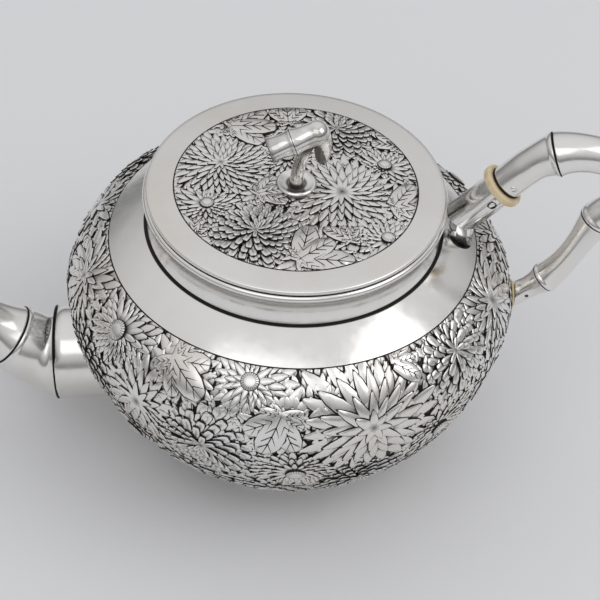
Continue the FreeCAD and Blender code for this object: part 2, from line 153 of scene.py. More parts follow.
# Petals, one unit long: stations along them, and columns of (share of the cut edge, height, darkness)
PETAL_SHARES = (0.0, 0.2, 0.42, 0.68, 0.9, 1.0)
PETAL_FLANK = ((0.0, -0.7, 1.0), (0.1, 0.55, 1.0), (1.0, 0.66, 1.0), (1.4, 0.76, 0.0))
PETAL_RIB = ((0.0, 1.0, 0.0),)
VEINED_RIB = ((-0.06, 0.98, 0.0), (0.0, 0.9, 1.0), (0.06, 0.98, 0.0))
PETAL_CROWN = 0.25
ROOT_SHADE = 0.42
ROOT_REACH = 0.45
HOLLOW_SHADE = 0.4
VEIN_SHARES = (0.0, 0.5, 1.0)
VEIN_TAPER = 0.9
VEIN_TOP = 0.6
VEIN_SKIRT = -0.4

# Buttons of the daisies, one unit in radius: rings of (radius, height), and which of them carry cuts
BUTTON_RINGS = ((0.35, 0.92), (0.50, 0.86), (0.56, 0.82), (0.86, 0.58), (0.94, 0.45), (1.0, -0.5))
BUTTON_CUT_RINGS = (2, 3)
BUTTON_DARK_RINGS = (4, 5)
BUTTON_CUT_SHADE = 0.45
BUTTON_RADIUS = 3.6
BUTTON_SHARE = 0.28
BUTTON_LIFT = 0.1
BUTTON_HEIGHT = 1.1

# Flowers: petals as (width, length, share of the cell where the rings stop), and how their rings swirl
SPIKY_PETAL = (4.0, 10.0, 0.25)
SPIKY_SWIRLS = (-0.22, 0.16, 0.24)
DAISY_PETAL = (3.0, 6.5, 0.5)
INCURVED_PETAL = (5.4, 6.6, 0.22)
INCURVED_SWIRL = 0.3
BODY_GRAIN = 0.78
LID_GRAIN = 0.58
LARGE_FLOWER = 14.0
DIRECTIONS = 72
CELL_LIMIT = 1.6
OUTER_SHARE = 1.08
LAYER_STEP = 0.5
LAYER_LIFT = 0.17
LAYER_NARROWING = 0.5
ORDER_LIFT = 0.22
RING_INNER_WEIGHT = 0.45
RING_OUTER_WEIGHT = 0.55
FEWEST_PETALS = 7
SHORTEST_PETAL = 0.8
PETAL_OVERLAP = 1.04
WIDEST_PETAL = 1.5
TURN_JITTER = 0.12
LENGTH_JITTER = 0.05
LIFT_JITTER = 0.05

# Rows of small petals under the flowers
ROW_PITCH = 4.2
ROW_WIDTH = 3.4
ROW_OVERLAP = 1.4
ROW_SWAY = 0.5

# Leaves: the petals round them, their lobes and the veins
LEAF_RING_INNER = 0.45
LEAF_RING_WIDTH = 3.8
LEAF_RING_SWIRL = 0.1
LEAF_TURNS = (-118, 118, -82, 82, -41, 41, 0)
LEAF_BASE = -0.3
LEAF_LIFT = 0.08
LEAF_FALL = 0.003
LEAF_REACH = 1.7
LEAF_INSET = 0.94
LEAF_STEP = 0.3
LEAF_LOBE_WIDTH = 9.5
LEAF_LOBE_SHARE = 0.58
LEAF_VEINS = (0.22, 0.42, 0.62)
LEAF_VEIN_LEAN = 0.62
LEAF_VEIN_WIDTH = 0.34
LEAF_VEIN_LENGTH = 0.42
LEAF_VEIN_HEIGHT = 0.12

# Flowers on the front half of the body: turn in degrees, depth below the shoulder line, size and kind
FRONT_FLOWERS = (
    (-168, 10, 15, "spiky"), (-144, 9, 10, "daisy"), (-155, 30, 14, "incurved"), (-131, 25, 14, "spiky"),
    (-120, 8, 9, "leaf"), (-101, 5, 9, "daisy"), (-112, 31, 15, "incurved"), (-93, 18, 9, "leaf"),
    (-68, 20, 20, "spiky"), (-87, 40, 11, "daisy"), (-56, 6, 8, "leaf"), (-39, 9, 14, "incurved"),
    (-16, 9, 14, "spiky"), (-46, 34, 11, "daisy"), (-25, 31, 15, "spiky"), (-3, 27, 11, "leaf"),
    (-172, 52, 15, "spiky"), (-138, 48, 11, "daisy"), (-121, 57, 16, "spiky"), (-94, 62, 15, "spiky"),
    (-68, 50, 14, "incurved"), (-44, 58, 16, "spiky"), (-20, 54, 12, "daisy"), (-1, 52, 12, "incurved"),
    (-160, 76, 13, "spiky"), (-128, 79, 11, "incurved"), (-92, 83, 11, "daisy"), (-58, 77, 13, "spiky"),
    (-22, 78, 12, "incurved"),
)

# Flowers on the lid: X, Y, size and kind
LID_FLOWERS = (
    (-22.2, 8.5, 14, "spiky"), (-11.4, -20.4, 13, "incurved"), (13.4, -2.3, 16, "spiky"),
    (25.9, 10.7, 9, "daisy"), (26.8, -20.5, 9, "daisy"), (-25.7, -9.4, 8, "daisy"),
    (-2.9, 12.0, 8, "daisy"), (11.4, 26.5, 12, "incurved"), (-14.9, 25.6, 10, "leaf"),
    (29.5, -5.4, 8, "leaf"), (5.5, -28.0, 10, "leaf"), (-8.2, -4.0, 7, "leaf"),
    (-31.0, -20.0, 6, "leaf"), (28.0, 22.0, 7, "leaf"), (-3.0, 31.0, 6, "leaf"),
    (14.5, -19.5, 7, "leaf"),
)

# Darkness on plain pieces, from 0 for bright silver to 1 for black: patina at joints, painted shade in
# hollows and gaps
BLACK = 1.0
INSIDE_SHADE = 0.25
UNDER_SHADE = 0.3
LID_INSIDE_SHADE = 0.2
FAINT_SHADE = 0.2
RIM_SHADE = 0.5
MEDALLION_SHADE = 0.6
COLLAR_TOP_SHADE = 0.7
BEAD_FOOT_SHADE = 0.8
WASHER_SHADE = 0.4
GROOVE_SHADE_DEPTH = 0.9

# Painted shade and painted dark reflections on the finial's washer, stem and cane, where in brackets as
# (darkness, reach)
WASHER_PAINTED_SHADE = (0.5, 1.2)
STEM_PAINTED_SHADE = 0.45
STEM_FOOT_REACH = 1.6
STEM_HEAD_REACH = 3.5
STEM_HEAD_DROP = 2.0
CANE_UNDERSIDE_PAINTED_SHADE = (0.42, 3.2)
CANE_END_PAINTED_REFLECTION = (0.38, 2.2)
CANE_NODE_PAINTED_REFLECTION = (0.26, 1.2)

# Finishes: colours, and the ranges in which tarnish, polishing streaks, patina and painted shade show
SILVER = (0.86, 0.85, 0.83, 1.0)
WARM_SILVER = (0.80, 0.76, 0.70, 1.0)
PATINA_AND_SHADE = (0.035, 0.033, 0.031, 1.0)
DARK_TARNISH = (0.20, 0.17, 0.14, 1.0)
IVORY_DEEP = (0.70, 0.56, 0.33, 1.0)
IVORY_PALE = (0.80, 0.69, 0.46, 1.0)
# Colour of the painted shade in the insulator's grooves
IVORY_GROOVE_SHADE = (0.09, 0.06, 0.03, 1.0)
TARNISH_RANGE = (0.42, 0.78)
CLOUD_SCALE = 38.0
SPOT_SCALE = 150.0
PATINA_AND_SHADE_RANGE = (0.14, 0.50)
PATINA_AND_SHADE_DULLNESS = 0.35
STREAK_SCALE = 420.0
STREAK_STRETCH = (1.0, 1.0, 0.25)
STREAK_RANGE = (0.35, 0.75)
HAMMER_SCALE = 95.0
IVORY_GRAIN_SCALE = 520.0
IVORY_GRAIN_STRETCH = (1.0, 1.0, 0.3)
IVORY_GRAIN_RANGE = (0.35, 0.7)
IVORY_GRAIN_DEPTH = 0.00006

# Fineness of the meshes, and limits for sorting points
LATHE_STEPS = 256
SHOULDER_STEPS = 20
SIDE_STEPS = 90
INNER_STEPS = (14, 14, 20)
COLLAR_STEPS = 24
BEAD_STEPS = 16
MEDALLION_STEPS = 24
RIM_STEPS = 8
LID_UNDER_STEPS = 10
HOLE_STEPS = 48
CANE_STEPS = 26
BORE_STEPS = 24
RING_STEPS = 72
SEAM_STEPS = 48
SEAM_SIDES = 6
BUTTON_STEPS = 44
PIECE_LIMIT = 2200
AXIS_RADIUS = 0.01
MERGE_DISTANCE = 1e-6
SHARP_ANGLE = 48.0
ROUNDING = 1e-9
TINY = 1e-6
FAR = 1e6

# Stage and light, in metres and watts: lamps as (name, place, size, power), world as (height, brightness)
FLOOR_COLOUR = (0.83, 0.835, 0.85, 1.0)
FLOOR_ROUGHNESS = 0.75
FLOOR_SIZE = 6.0
WORLD_STOPS = ((0.0, 0.20), (0.5, 0.20), (0.58, 0.26), (0.68, 0.52), (0.80, 0.66), (1.0, 0.75))
WORLD_BLUE = 1.01
LAMP_AIM = (0.0, 0.0, 0.06)
LAMPS = (
    ("window_right", (0.9, -0.35, 1.0), (0.8, 0.8), 2.4),
    ("front_fill", (-0.3, -1.3, 1.8), (1.8, 1.3), 4.2),
)

# The photograph's view: picture size, where the lid's centre falls, focal length in pixels
PICTURE = 600
LID_PIXEL = (296.0, 189.0)
FOCAL_PIXELS = 3016.0
CAMERA_DISTANCE = 880.0
CAMERA_AZIMUTH = -1.5
CAMERA_ELEVATION = 41.5
CAMERA_ROLL = 3.5
SENSOR = 36.0
NEAREST_SEEN = 0.05

mouth_radius = BODY_RADIUS - SHOULDER_WIDTH
mouth_z = BODY_WIDEST_Z + SHOULDER_RISE
collar_radius = mouth_radius - COLLAR_SET_IN
collar_bore = collar_radius - COLLAR_HOLLOW - COLLAR_WALL
lid_radius = collar_radius + LID_OVERHANG
collar_top = mouth_z + COLLAR_HEIGHT
bead_top = collar_top + BEAD_HEIGHT
lid_under = bead_top + LID_GAP
lid_edge_top = lid_under + LID_EDGE
lid_top = lid_edge_top + LID_DOME
x_axis = np.array((1.0, 0.0, 0.0))
y_axis = np.array((0.0, 1.0, 0.0))


# Materials

class Nodes:
    """A node tree, with short calls for the nodes that are used here."""

    def __init__(self, tree):
        self.nodes = tree.nodes
        self.links = tree.links

    def feed(self, target, inputs):
        """Joins outputs to a node's inputs, or writes plain values there."""
        for key, value in inputs.items():
            if isinstance(value, bpy.types.NodeSocket):
                self.links.new(value, target.inputs[key])
            else:
                target.inputs[key].default_value = value

    def node(self, kind, inputs=None, **settings):
        made = self.nodes.new(kind)
        for key, value in settings.items():
            setattr(made, key, value)
        self.feed(made, inputs or {})
        return made

    def spread(self, value, given, wanted=(0.0, 1.0)):
        """Carries a value from one range into another."""
        names = ("From Min", "From Max", "To Min", "To Max")
        inputs = dict(zip(names, given + wanted), Value=value)
        return self.node("ShaderNodeMapRange", inputs).outputs["Result"]


class Finish(Nodes):
    """A material, with its noise, its blends and the patina and painted shade that a mesh carries."""

    def __init__(self, name):
        self.material = bpy.data.materials.new(name)
        self.material.use_nodes = True
        super().__init__(self.material.node_tree)
        self.shader = self.nodes["Principled BSDF"]

    def noise(self, scale, detail, stretch=(1.0, 1.0, 1.0)):
        place = self.node("ShaderNodeTexCoord").outputs["Object"]
        mapped = self.node("ShaderNodeMapping", {"Vector": place, "Scale": stretch}).outputs["Vector"]
        inputs = {"Vector": mapped, "Scale": scale, "Detail": detail}
        return self.node("ShaderNodeTexNoise", inputs).outputs["Fac"]

    def blend(self, share, first, second):
        return self.node("ShaderNodeMix", {0: share, 6: first, 7: second}, data_type="RGBA").outputs[2]

    def patina_and_shade(self):
        return self.node("ShaderNodeAttribute", attribute_name="patina_and_shade").outputs["Fac"]

    def bump(self, height, distance):
        inputs = {"Strength": 1.0, "Distance": distance, "Height": height}
        return self.node("ShaderNodeBump", inputs).outputs["Normal"]


def silver_finish(name, roughness, hammer, cloud, tarnish_colour=WARM_SILVER, tarnish_scale=CLOUD_SCALE):
    """Silver with cloudy tarnish, hand-worked waviness, and dark patina and painted shade where the mesh
    carries them.
    """
    finish = Finish(name)
    darkening = finish.spread(finish.noise(tarnish_scale, detail=4.0), TARNISH_RANGE, (0.0, cloud))
    bright = finish.blend(darkening, SILVER, tarnish_colour)
    # The mesh's darkness: patina on the chased work and joints, painted shade in hollows, under edges and
    # on the finial.
    patina_and_shade = finish.spread(finish.patina_and_shade(), PATINA_AND_SHADE_RANGE)
    streaks = finish.spread(finish.noise(STREAK_SCALE, 5.0, STREAK_STRETCH), STREAK_RANGE, roughness)
    dull = finish.node("ShaderNodeMath", {0: patina_and_shade, 1: PATINA_AND_SHADE_DULLNESS}, operation="MULTIPLY").outputs[0]
    rough = finish.node("ShaderNodeMath", {0: streaks, 1: dull}, operation="ADD", use_clamp=True).outputs[0]
    finish.feed(finish.shader, {
        "Metallic": 1.0,
        "Base Color": finish.blend(patina_and_shade, bright, PATINA_AND_SHADE),
        "Roughness": rough,
        "Normal": finish.bump(finish.noise(HAMMER_SCALE, detail=2.0), hammer),
    })
    return finish.material


def ivory_finish():
    finish = Finish("aged_ivory")
    grain = finish.spread(finish.noise(IVORY_GRAIN_SCALE, 4.0, IVORY_GRAIN_STRETCH), IVORY_GRAIN_RANGE)
    cream = finish.blend(grain, IVORY_DEEP, IVORY_PALE)
    finish.feed(finish.shader, {
        "Roughness": 0.38,
        "Subsurface Weight": 0.12,
        "Subsurface Radius": (0.002, 0.0014, 0.0008),
        # The ivory is darkened with painted shade in its grooves.
        "Base Color": finish.blend(finish.patina_and_shade(), cream, IVORY_GROOVE_SHADE),
        "Normal": finish.bump(grain, IVORY_GRAIN_DEPTH),
    })
    return finish.material


polished_silver = silver_finish("polished_silver", roughness=(0.15, 0.24), hammer=0.00012, cloud=0.55)
satin_silver = silver_finish("satin_silver", roughness=(0.27, 0.36), hammer=0.00004, cloud=1.0)
chased_silver = silver_finish("chased_silver", roughness=(0.24, 0.34), hammer=0.00005, cloud=1.0)
worn_silver = silver_finish("worn_silver", roughness=(0.10, 0.18), hammer=0.00008, cloud=0.7,
                            tarnish_colour=DARK_TARNISH, tarnish_scale=SPOT_SCALE)
aged_ivory = ivory_finish()


# Mesh helpers

def polar(degrees, length=1.0):
    """Vector in the XZ plane."""
    angle = math.radians(degrees)
    return np.array((length * math.cos(angle), 0.0, length * math.sin(angle)))


def turned(point, degrees):
    """A point turned about Z."""
    angle = math.radians(degrees)
    return np.array((point[0] * math.cos(angle) - point[1] * math.sin(angle),
                     point[0] * math.sin(angle) + point[1] * math.cos(angle), point[2]))


def round_angles(count):
    return [2 * math.pi * k / count for k in range(count)]


def loop_faces(loops, count, joined=True):
    """Faces between loops of points; joined says that the last loop meets the first."""
    faces = []
    for k in range(loops if joined else loops - 1):
        here = k * count
        there = (k + 1) % loops * count
        for i in range(count):
            after = (i + 1) % count
            faces.append((here + i, there + i, there + after, here + after))
    return faces


def add_patina_and_shade(mesh, values):
    layer = mesh.attributes.new("patina_and_shade", "FLOAT", "POINT")
    layer.data.foreach_set("value", np.asarray(values, dtype=np.float32))


def smooth(mesh):
    mesh.shade_smooth()
    mesh.set_sharp_from_angle(angle=math.radians(SHARP_ANGLE))


def show(name, data):
    """A new object in the scene."""
    made = bpy.data.objects.new(name, data)
    bpy.context.scene.collection.objects.link(made)
    return made


def show_piece(name, mesh, material, body):
    """A new visible piece that rides on a body."""
    mesh.materials.clear()
    mesh.materials.append(material)
    made = show(name, mesh)
    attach(made, body)
    return made


def applied(holder, modifier):
    """The mesh of an object after its modifier, which is then removed."""
    graph = bpy.context.evaluated_depsgraph_get()
    mesh = bpy.data.meshes.new_from_object(holder.evaluated_get(graph), depsgraph=graph)
    holder.modifiers.remove(modifier)
    return mesh


def piece(name, points, faces, material, body, patina_and_shade, replaced=(), cut=None):
    """Piece from points in millimetres; what lies below X = cut is taken off."""
    mesh = bpy.data.meshes.new(name)
    mesh.from_pydata([tuple(np.asarray(p) * MM) for p in points], [], faces)
    add_patina_and_shade(mesh, patina_and_shade)
    return finish_piece(name, mesh, material, body, replaced, cut)


def finish_piece(name, mesh, material, body, replaced, cut=None):
    """Cleans a mesh and shows it, in place of the nodes that it replaces."""
    tidy = bmesh.new()
    tidy.from_mesh(mesh)
    bmesh.ops.remove_doubles(tidy, verts=tidy.verts, dist=MERGE_DISTANCE)
    if cut is not None:
        everything = tidy.verts[:] + tidy.edges[:] + tidy.faces[:]
        opened = bmesh.ops.bisect_plane(tidy, geom=everything, plane_co=(cut * MM, 0, 0),
                                        plane_no=(1, 0, 0), clear_inner=True)
        edges = [item for item in opened["geom_cut"] if isinstance(item, bmesh.types.BMEdge)]
        bmesh.ops.contextual_create(tidy, geom=edges)
    bmesh.ops.recalc_face_normals(tidy, faces=tidy.faces)
    tidy.to_mesh(mesh)
    tidy.free()
    smooth(mesh)
    made = show_piece(name, mesh, material, body)
    if replaced:
        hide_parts(*replaced)
    return made


def lathe(node, outline, material, body):
    """Closed solid of revolution about Z in place of a node, from a loop of (radius, height, darkness)."""
    points = []
    patina_and_shade = []
    for turn in round_angles(LATHE_STEPS):
        for radius, height, dark in outline:
            points.append((radius * math.cos(turn), radius * math.sin(turn), height))
            patina_and_shade.append(dark)
    faces = loop_faces(LATHE_STEPS, len(outline))
    return piece(node + "_dressed", points, faces, material, body, patina_and_shade, (node,))


def darken(outline, index, shade):
    outline[index] = outline[index][:2] + (shade,)


def arc_points(centre, radius, start, end, count):
    return [np.asarray(centre) + polar(angle, radius) for angle in np.linspace(start, end, count)]


def bowed_outline(radius, bow, low, high, count):
    """Bright outline on an arc between two heights; it bows out from a radius, or in if bow is negative."""
    half = (high - low) / 2
    arc = (half ** 2 + bow ** 2) / (2 * bow)
    swing = math.degrees(2 * math.atan(bow / half))
    centre = (radius + bow - arc, 0.0, low + half)
    return [(point[0], point[2], 0.0) for point in arc_points(centre, arc, -swing, swing, count)]


def arc_angle(height, centre, arc):
    """Angle on an arc at which it passes a height, in degrees."""
    return math.degrees(math.asin((height - centre[2]) / arc))


# The body's side, measured along its outline from the shoulder line downwards

belly_centre = np.array((BODY_RADIUS - BELLY_ARC, 0.0, BODY_WIDEST_Z))
to_mouth = np.array((mouth_radius, 0.0, mouth_z)) - belly_centre
mouth_gap = float(np.linalg.norm(to_mouth))
mouth_heading = math.degrees(math.atan2(to_mouth[2], to_mouth[0]))
centre_gap = SHOULDER_ARC - BELLY_ARC
along_gap = (centre_gap ** 2 - SHOULDER_ARC ** 2 + mouth_gap ** 2) / (2 * mouth_gap)
aside_gap = math.sqrt(centre_gap ** 2 - along_gap ** 2)
shoulder_centre = belly_centre + polar(mouth_heading, along_gap) + polar(mouth_heading + 90, aside_gap)
to_belly = belly_centre - shoulder_centre
belly_top_angle = math.degrees(math.atan2(to_belly[2], to_belly[0]))
lower_centre = belly_centre + polar(180 - BELLY_LOW_ANGLE, LOWER_ARC - BELLY_ARC)
mouth_angle = arc_angle(mouth_z, shoulder_centre, SHOULDER_ARC)
base_angle = arc_angle(FOOT_HEIGHT, lower_centre, LOWER_ARC)
line_angle = math.degrees(math.acos((SHOULDER_LINE_RADIUS - shoulder_centre[0]) / SHOULDER_ARC))
side_arcs = (
    (shoulder_centre, SHOULDER_ARC, line_angle, belly_top_angle),
    (belly_centre, BELLY_ARC, belly_top_angle, -BELLY_LOW_ANGLE),
    (lower_centre, LOWER_ARC, -BELLY_LOW_ANGLE, base_angle),
)
side_ends = np.cumsum([radius * math.radians(start - end) for _, radius, start, end in side_arcs])
spout_angle = arc_angle(SPOUT_ROOT_Z, lower_centre, LOWER_ARC)
spout_hole = turned(lower_centre + polar(spout_angle, LOWER_ARC), 180)


def side_point(depth):
    """Radius, height and normal angle on the body, at a length down from the shoulder line."""
    depth = np.clip(np.asarray(depth, dtype=float), 0.0, side_ends[-1])
    radius = np.zeros_like(depth)
    height = np.zeros_like(depth)
    normal = np.zeros_like(depth)
    begin = 0.0
    for (centre, arc, start, _), end in zip(side_arcs, side_ends):
        inside = (depth >= begin - ROUNDING) & (depth <= end + ROUNDING)
        angle = np.radians(start) - (depth - begin) / arc
        radius = np.where(inside, centre[0] + arc * np.cos(angle), radius)
        height = np.where(inside, centre[2] + arc * np.sin(angle), height)
        normal = np.where(inside, angle, normal)
        begin = end
    return radius, height, normal


def body_wrap(points):
    """Carries flat points (length round the widest circle, length down the side, lift) onto the body.

    What lies outside the chased field is drawn in to the field's border and pressed flat there. The second
    result says which points those are.
    """
    radius, height, normal = side_point(np.clip(points[:, 1], BORDER_GAP, CHASED_DEPTH))
    turn = points[:, 0] / BODY_RADIUS
    outside = (points[:, 1] < BORDER_GAP) | (points[:, 1] > CHASED_DEPTH)
    lift = np.where(outside, np.minimum(points[:, 2], BORDER_LIFT), points[:, 2])
    reach = radius + lift * np.cos(normal)
    wrapped = np.stack([reach * np.cos(turn), reach * np.sin(turn), height + lift * np.sin(normal)], -1)
    return wrapped, outside


def lid_height(distance):
    """Height of the lid's top at a distance from its centre."""
    share = (np.asarray(distance, dtype=float) - WASHER_RADIUS) / (lid_radius - WASHER_RADIUS)
    return lid_top - LID_DOME * np.clip(share, 0.0, 1.0) ** 2


def lid_wrap(points):
    """The same for the lid, from flat points (X, Y, lift)."""
    lifted = points.copy()
    distance = np.hypot(points[:, 0], points[:, 1])
    limit = MEDALLION_RADIUS - BORDER_GAP
    outside = distance > limit
    lifted[outside, :2] *= (limit / distance[outside])[:, None]
    lifted[outside, 2] = np.minimum(lifted[outside, 2], BORDER_LIFT)
    lifted[:, 2] += lid_height(np.minimum(distance, limit))
    return lifted, outside


# Plain pieces of revolution

def body_outline():
    """Shoulder, sunk and blackened ground, base, then the inside from the base up to the mouth, with
    painted shade under the base and inside.
    """
    line_end = line_angle + SHOULDER_LINE_GAP
    shoulder = arc_points(shoulder_centre, SHOULDER_ARC, mouth_angle, line_end, SHOULDER_STEPS)
    outline = [(point[0], point[2], 0.0) for point in shoulder]
    darken(outline, 0, BLACK)
    for depth in np.linspace(0.0, side_ends[-1], SIDE_STEPS):
        radius, height, normal = (float(v) for v in side_point(depth))
        chased = depth < CHASED_DEPTH
        sink = GROUND_DEPTH * min(1.0, depth / GROUND_SLOPE) if chased else 0.0
        dark = BLACK if chased else 0.0
        outline.append((radius - sink * math.cos(normal), height - sink * math.sin(normal), dark))
    floor = FOOT_HEIGHT + BODY_WALL
    # Painted shade: the base's underside and the whole inside are darkened.
    outline += [(AXIS_RADIUS, FOOT_HEIGHT, UNDER_SHADE), (AXIS_RADIUS, floor, INSIDE_SHADE)]
    inner_mouth = arc_angle(mouth_z, shoulder_centre, SHOULDER_ARC - BODY_WALL)
    inner_base = arc_angle(floor, lower_centre, LOWER_ARC - BODY_WALL)
    angles = (inner_mouth, belly_top_angle, -BELLY_LOW_ANGLE, inner_base)
    inside = []
    for i, (centre, arc, _, _) in enumerate(side_arcs):
        arc_inside = arc_points(centre, arc - BODY_WALL, angles[i], angles[i + 1], INNER_STEPS[i])
        inside += arc_inside[1:] if inside else arc_inside
    return outline + [(point[0], point[2], INSIDE_SHADE) for point in reversed(inside)]


def make_body():
    body = lathe("body_shell", body_outline(), polished_silver, "pot")
    axis = Vector(turned(polar(spout_angle), 180))
    turn = Vector((0, 0, 1)).rotation_difference(axis).to_matrix().to_4x4()
    size = SPOUT_HOLE_RADIUS * MM
    cutter_mesh = bpy.data.meshes.new("spout_hole")
    cutter = bmesh.new()
    bmesh.ops.create_cone(cutter, cap_ends=True, segments=HOLE_STEPS, radius1=size, radius2=size,
                          depth=size)
    place = Matrix.Translation(Vector(spout_hole) * MM) @ turn
    bmesh.ops.transform(cutter, matrix=place, verts=cutter.verts)
    cutter.to_mesh(cutter_mesh)
    cutter.free()
    hole = show("spout_hole", cutter_mesh)
    cut = body.modifiers.new("spout_hole", "BOOLEAN")
    cut.operation = "DIFFERENCE"
    cut.object = hole
    cut.solver = "EXACT"
    body.data = applied(body, cut)
    bpy.data.objects.remove(hole)
    smooth(body.data)


def make_collar():
    outline = bowed_outline(collar_radius, -COLLAR_HOLLOW, mouth_z, collar_top, COLLAR_STEPS)
    darken(outline, 0, BLACK)
    darken(outline, 1, FAINT_SHADE)
    darken(outline, -1, COLLAR_TOP_SHADE)
    # Painted shade inside the collar's bore.
    outline += [(collar_bore, collar_top, UNDER_SHADE), (collar_bore, mouth_z, UNDER_SHADE)]
    lathe("collar", outline, polished_silver, "pot")
    bead = bowed_outline(collar_radius, BEAD_PROUD, collar_top, bead_top, BEAD_STEPS)
    darken(bead, 0, BEAD_FOOT_SHADE)
    # Painted shade: the bead's top edge and inner rim are darkened under the lid's gap.
    darken(bead, -1, BLACK)
    bead += [(collar_bore, bead_top, RIM_SHADE), (collar_bore, collar_top, UNDER_SHADE)]
    lathe("collar_bead", bead, polished_silver, "pot")


def make_lid():
    ground_end = MEDALLION_RADIUS - GROUND_SLOPE
    border = float(lid_height(MEDALLION_RADIUS))
    land = lid_radius - LID_LAND
    outline = [(SPIGOT_HOLE, lid_top, 0.0), (WASHER_RADIUS, lid_top, WASHER_SHADE)]
    for radius in np.linspace(WASHER_RADIUS + WASHER_BORDER, ground_end, MEDALLION_STEPS):
        outline.append((float(radius), float(lid_height(radius)) - GROUND_DEPTH, BLACK))
    outline.append((MEDALLION_RADIUS - MEDALLION_STEP, border - GROUND_DEPTH, BLACK))
    outline.append((MEDALLION_RADIUS, border, MEDALLION_SHADE))
    for radius in np.linspace(MEDALLION_RADIUS + MEDALLION_STEP, lid_radius - LID_ROUND, RIM_STEPS):
        outline.append((float(radius), float(lid_height(radius)), 0.0))
    outline.append((lid_radius - LID_CORNER, lid_edge_top - LID_CORNER, 0.0))
    outline.append((lid_radius, lid_edge_top - LID_ROUND, 0.0))
    # Painted shade along the lid's lower edge, across the gap over the bead and on the underside.
    outline.append((lid_radius, lid_under + LID_LOWER_CORNER[1], FAINT_SHADE))
    outline.append((lid_radius - LID_LOWER_CORNER[0], lid_under, BLACK))
    outline.append((land, lid_under, UNDER_SHADE))
    for share in np.linspace(0.0, 1.0, LID_UNDER_STEPS)[1:]:
        radius = land * (1 - share) + NUT_RADIUS * share
        height = lid_under + LID_DOME * float(1 - (1 - share) ** 2)
        outline.append((float(radius), height, LID_INSIDE_SHADE))
    outline.append((SPIGOT_HOLE, lid_under + LID_DOME, LID_INSIDE_SHADE))
    lathe("lid_plate", outline, satin_silver, "lid")


# Bamboo canes

def curve_point(first, last, share):
    """Place and heading on the bend between two ends of (place, heading, radius)."""
    start, start_heading, _ = first
    end, end_heading, _ = last
    reach = BEND_REACH * np.linalg.norm(end - start)
    knots = (start, start + polar(start_heading, reach), end - polar(end_heading, reach), end)
    rest = 1 - share
    place = knots[0] * rest ** 3 + knots[1] * 3 * rest ** 2 * share
    place = place + knots[2] * 3 * rest * share ** 2 + knots[3] * share ** 3
    slope = (knots[1] - knots[0]) * rest ** 2 + (knots[2] - knots[1]) * 2 * rest * share
    slope = slope + (knots[3] - knots[2]) * share ** 2
    return place, math.degrees(math.atan2(slope[2], slope[0]))


def cane_stations(length):
    """Shares along a cane, close together at the nodes at both ends."""
    lip = NODE_LIP / length
    ridge = NODE_RIDGE / length
    near = [lip * place for place in LIP_STATIONS] + [ridge * place for place in RIDGE_STATIONS]
    middle = list(np.linspace(ridge * RIDGE_END, 1 - ridge * RIDGE_END, CANE_STEPS))
    return near + middle + [1 - share for share in reversed(near)]


def waisted(share, radii):
    """Radius along a cane without its lips and its ridge."""
    first, waist, last = radii
    end = first if share < 0.5 else last
    return waist + (end - waist) * abs(1 - 2 * share) ** WAIST_POWER


def cane_profile(share, length, radii, ridge):
    """Radius and darkness along a cane, with a rounded lip at each node and a ridge before the far one."""
    radius = waisted(share, radii)
    from_end = min(share, 1 - share) * length
    if share > 0.5 and from_end < NODE_RIDGE:
        radius += ridge
    dark = 0.0
    if from_end < NODE_LIP:
        radius -= LIP_DROP * (1 - from_end / NODE_LIP) ** 2
        dark = 1.0 - LIP_FADE * from_end / NODE_LIP
    return radius, dark


def cane(node, first, last, waist, wall=0.0, turn=0.0, ridge=RIDGE_HEIGHT, cut=None):
    """One length of bamboo in place of a node; with a wall it is a tube, open at both ends."""
    length = float(np.linalg.norm(last[0] - first[0]))
    radii = (first[2], waist, last[2])
    rings = []
    for share in cane_stations(length):
        rings.append(curve_point(first, last, share) + cane_profile(share, length, radii, ridge))
    if wall:
        # Painted shade inside the bore of a tube.
        for share in np.linspace(1.0, 0.0, BORE_STEPS):
            rings.append(curve_point(first, last, share) + (waisted(share, radii) - wall, UNDER_SHADE))
    points = []
    patina_and_shade = []
    for place, heading, radius, dark in rings:
        side = polar(heading + 90)
        for angle in round_angles(RING_STEPS):
            outward = math.cos(angle) * side + math.sin(angle) * y_axis
            points.append(turned(place + radius * outward, turn))
            patina_and_shade.append(dark)
    faces = loop_faces(len(rings), RING_STEPS, bool(wall))
    if not wall:
        faces.append(tuple(range(RING_STEPS)))
        faces.append(tuple(range(len(points) - RING_STEPS, len(points))))
    piece(node + "_dressed", points, faces, polished_silver, "pot", patina_and_shade, (node,), cut=cut)


socket_axis = polar(SOCKET_ANGLE)
mitre = np.array((collar_radius + POST_STANDOFF, 0.0, mouth_z + POST_HEIGHT))
socket_end = mitre + socket_axis * SOCKET_LENGTH
widest = np.array((BODY_RADIUS, 0.0, BODY_WIDEST_Z))
lower_joint = widest - np.array((0.0, 0.0, LOWER_DROP))
stem_end = np.array((STEM_LEAN, 0.0, lid_top + WASHER_SEAT + STEM_HEIGHT))
cane_centre = stem_end + np.array((0.0, 0.0, CANE_NODE_RADIUS * CANE_SINK))


def make_handle():
    start = socket_end + socket_axis * (INSULATOR_WIDTH + 2 * GROOVE_WIDTH)
    places = [start] + [widest + np.array((x, 0.0, z)) for x, z in HANDLE_NODES] + [lower_joint]
    headings = (SOCKET_ANGLE,) + NODE_HEADINGS + (LOWER_ANGLE - 180,)
    ends = list(zip(places, headings, (SOCKET_RADIUS,) + NODE_RADII + (LOWER_RADIUS,)))
    for i, section in enumerate(("upper_section", "top_bend", "outer_section", "back_section")):
        cane("handle_" + section, ends[i], ends[i + 1], WAIST_RADII[i])
    cane("handle_lower_section", ends[-2], ends[-1], WAIST_RADII[-1], ridge=0.0,
         cut=BODY_RADIUS + LOWER_FLANGE)


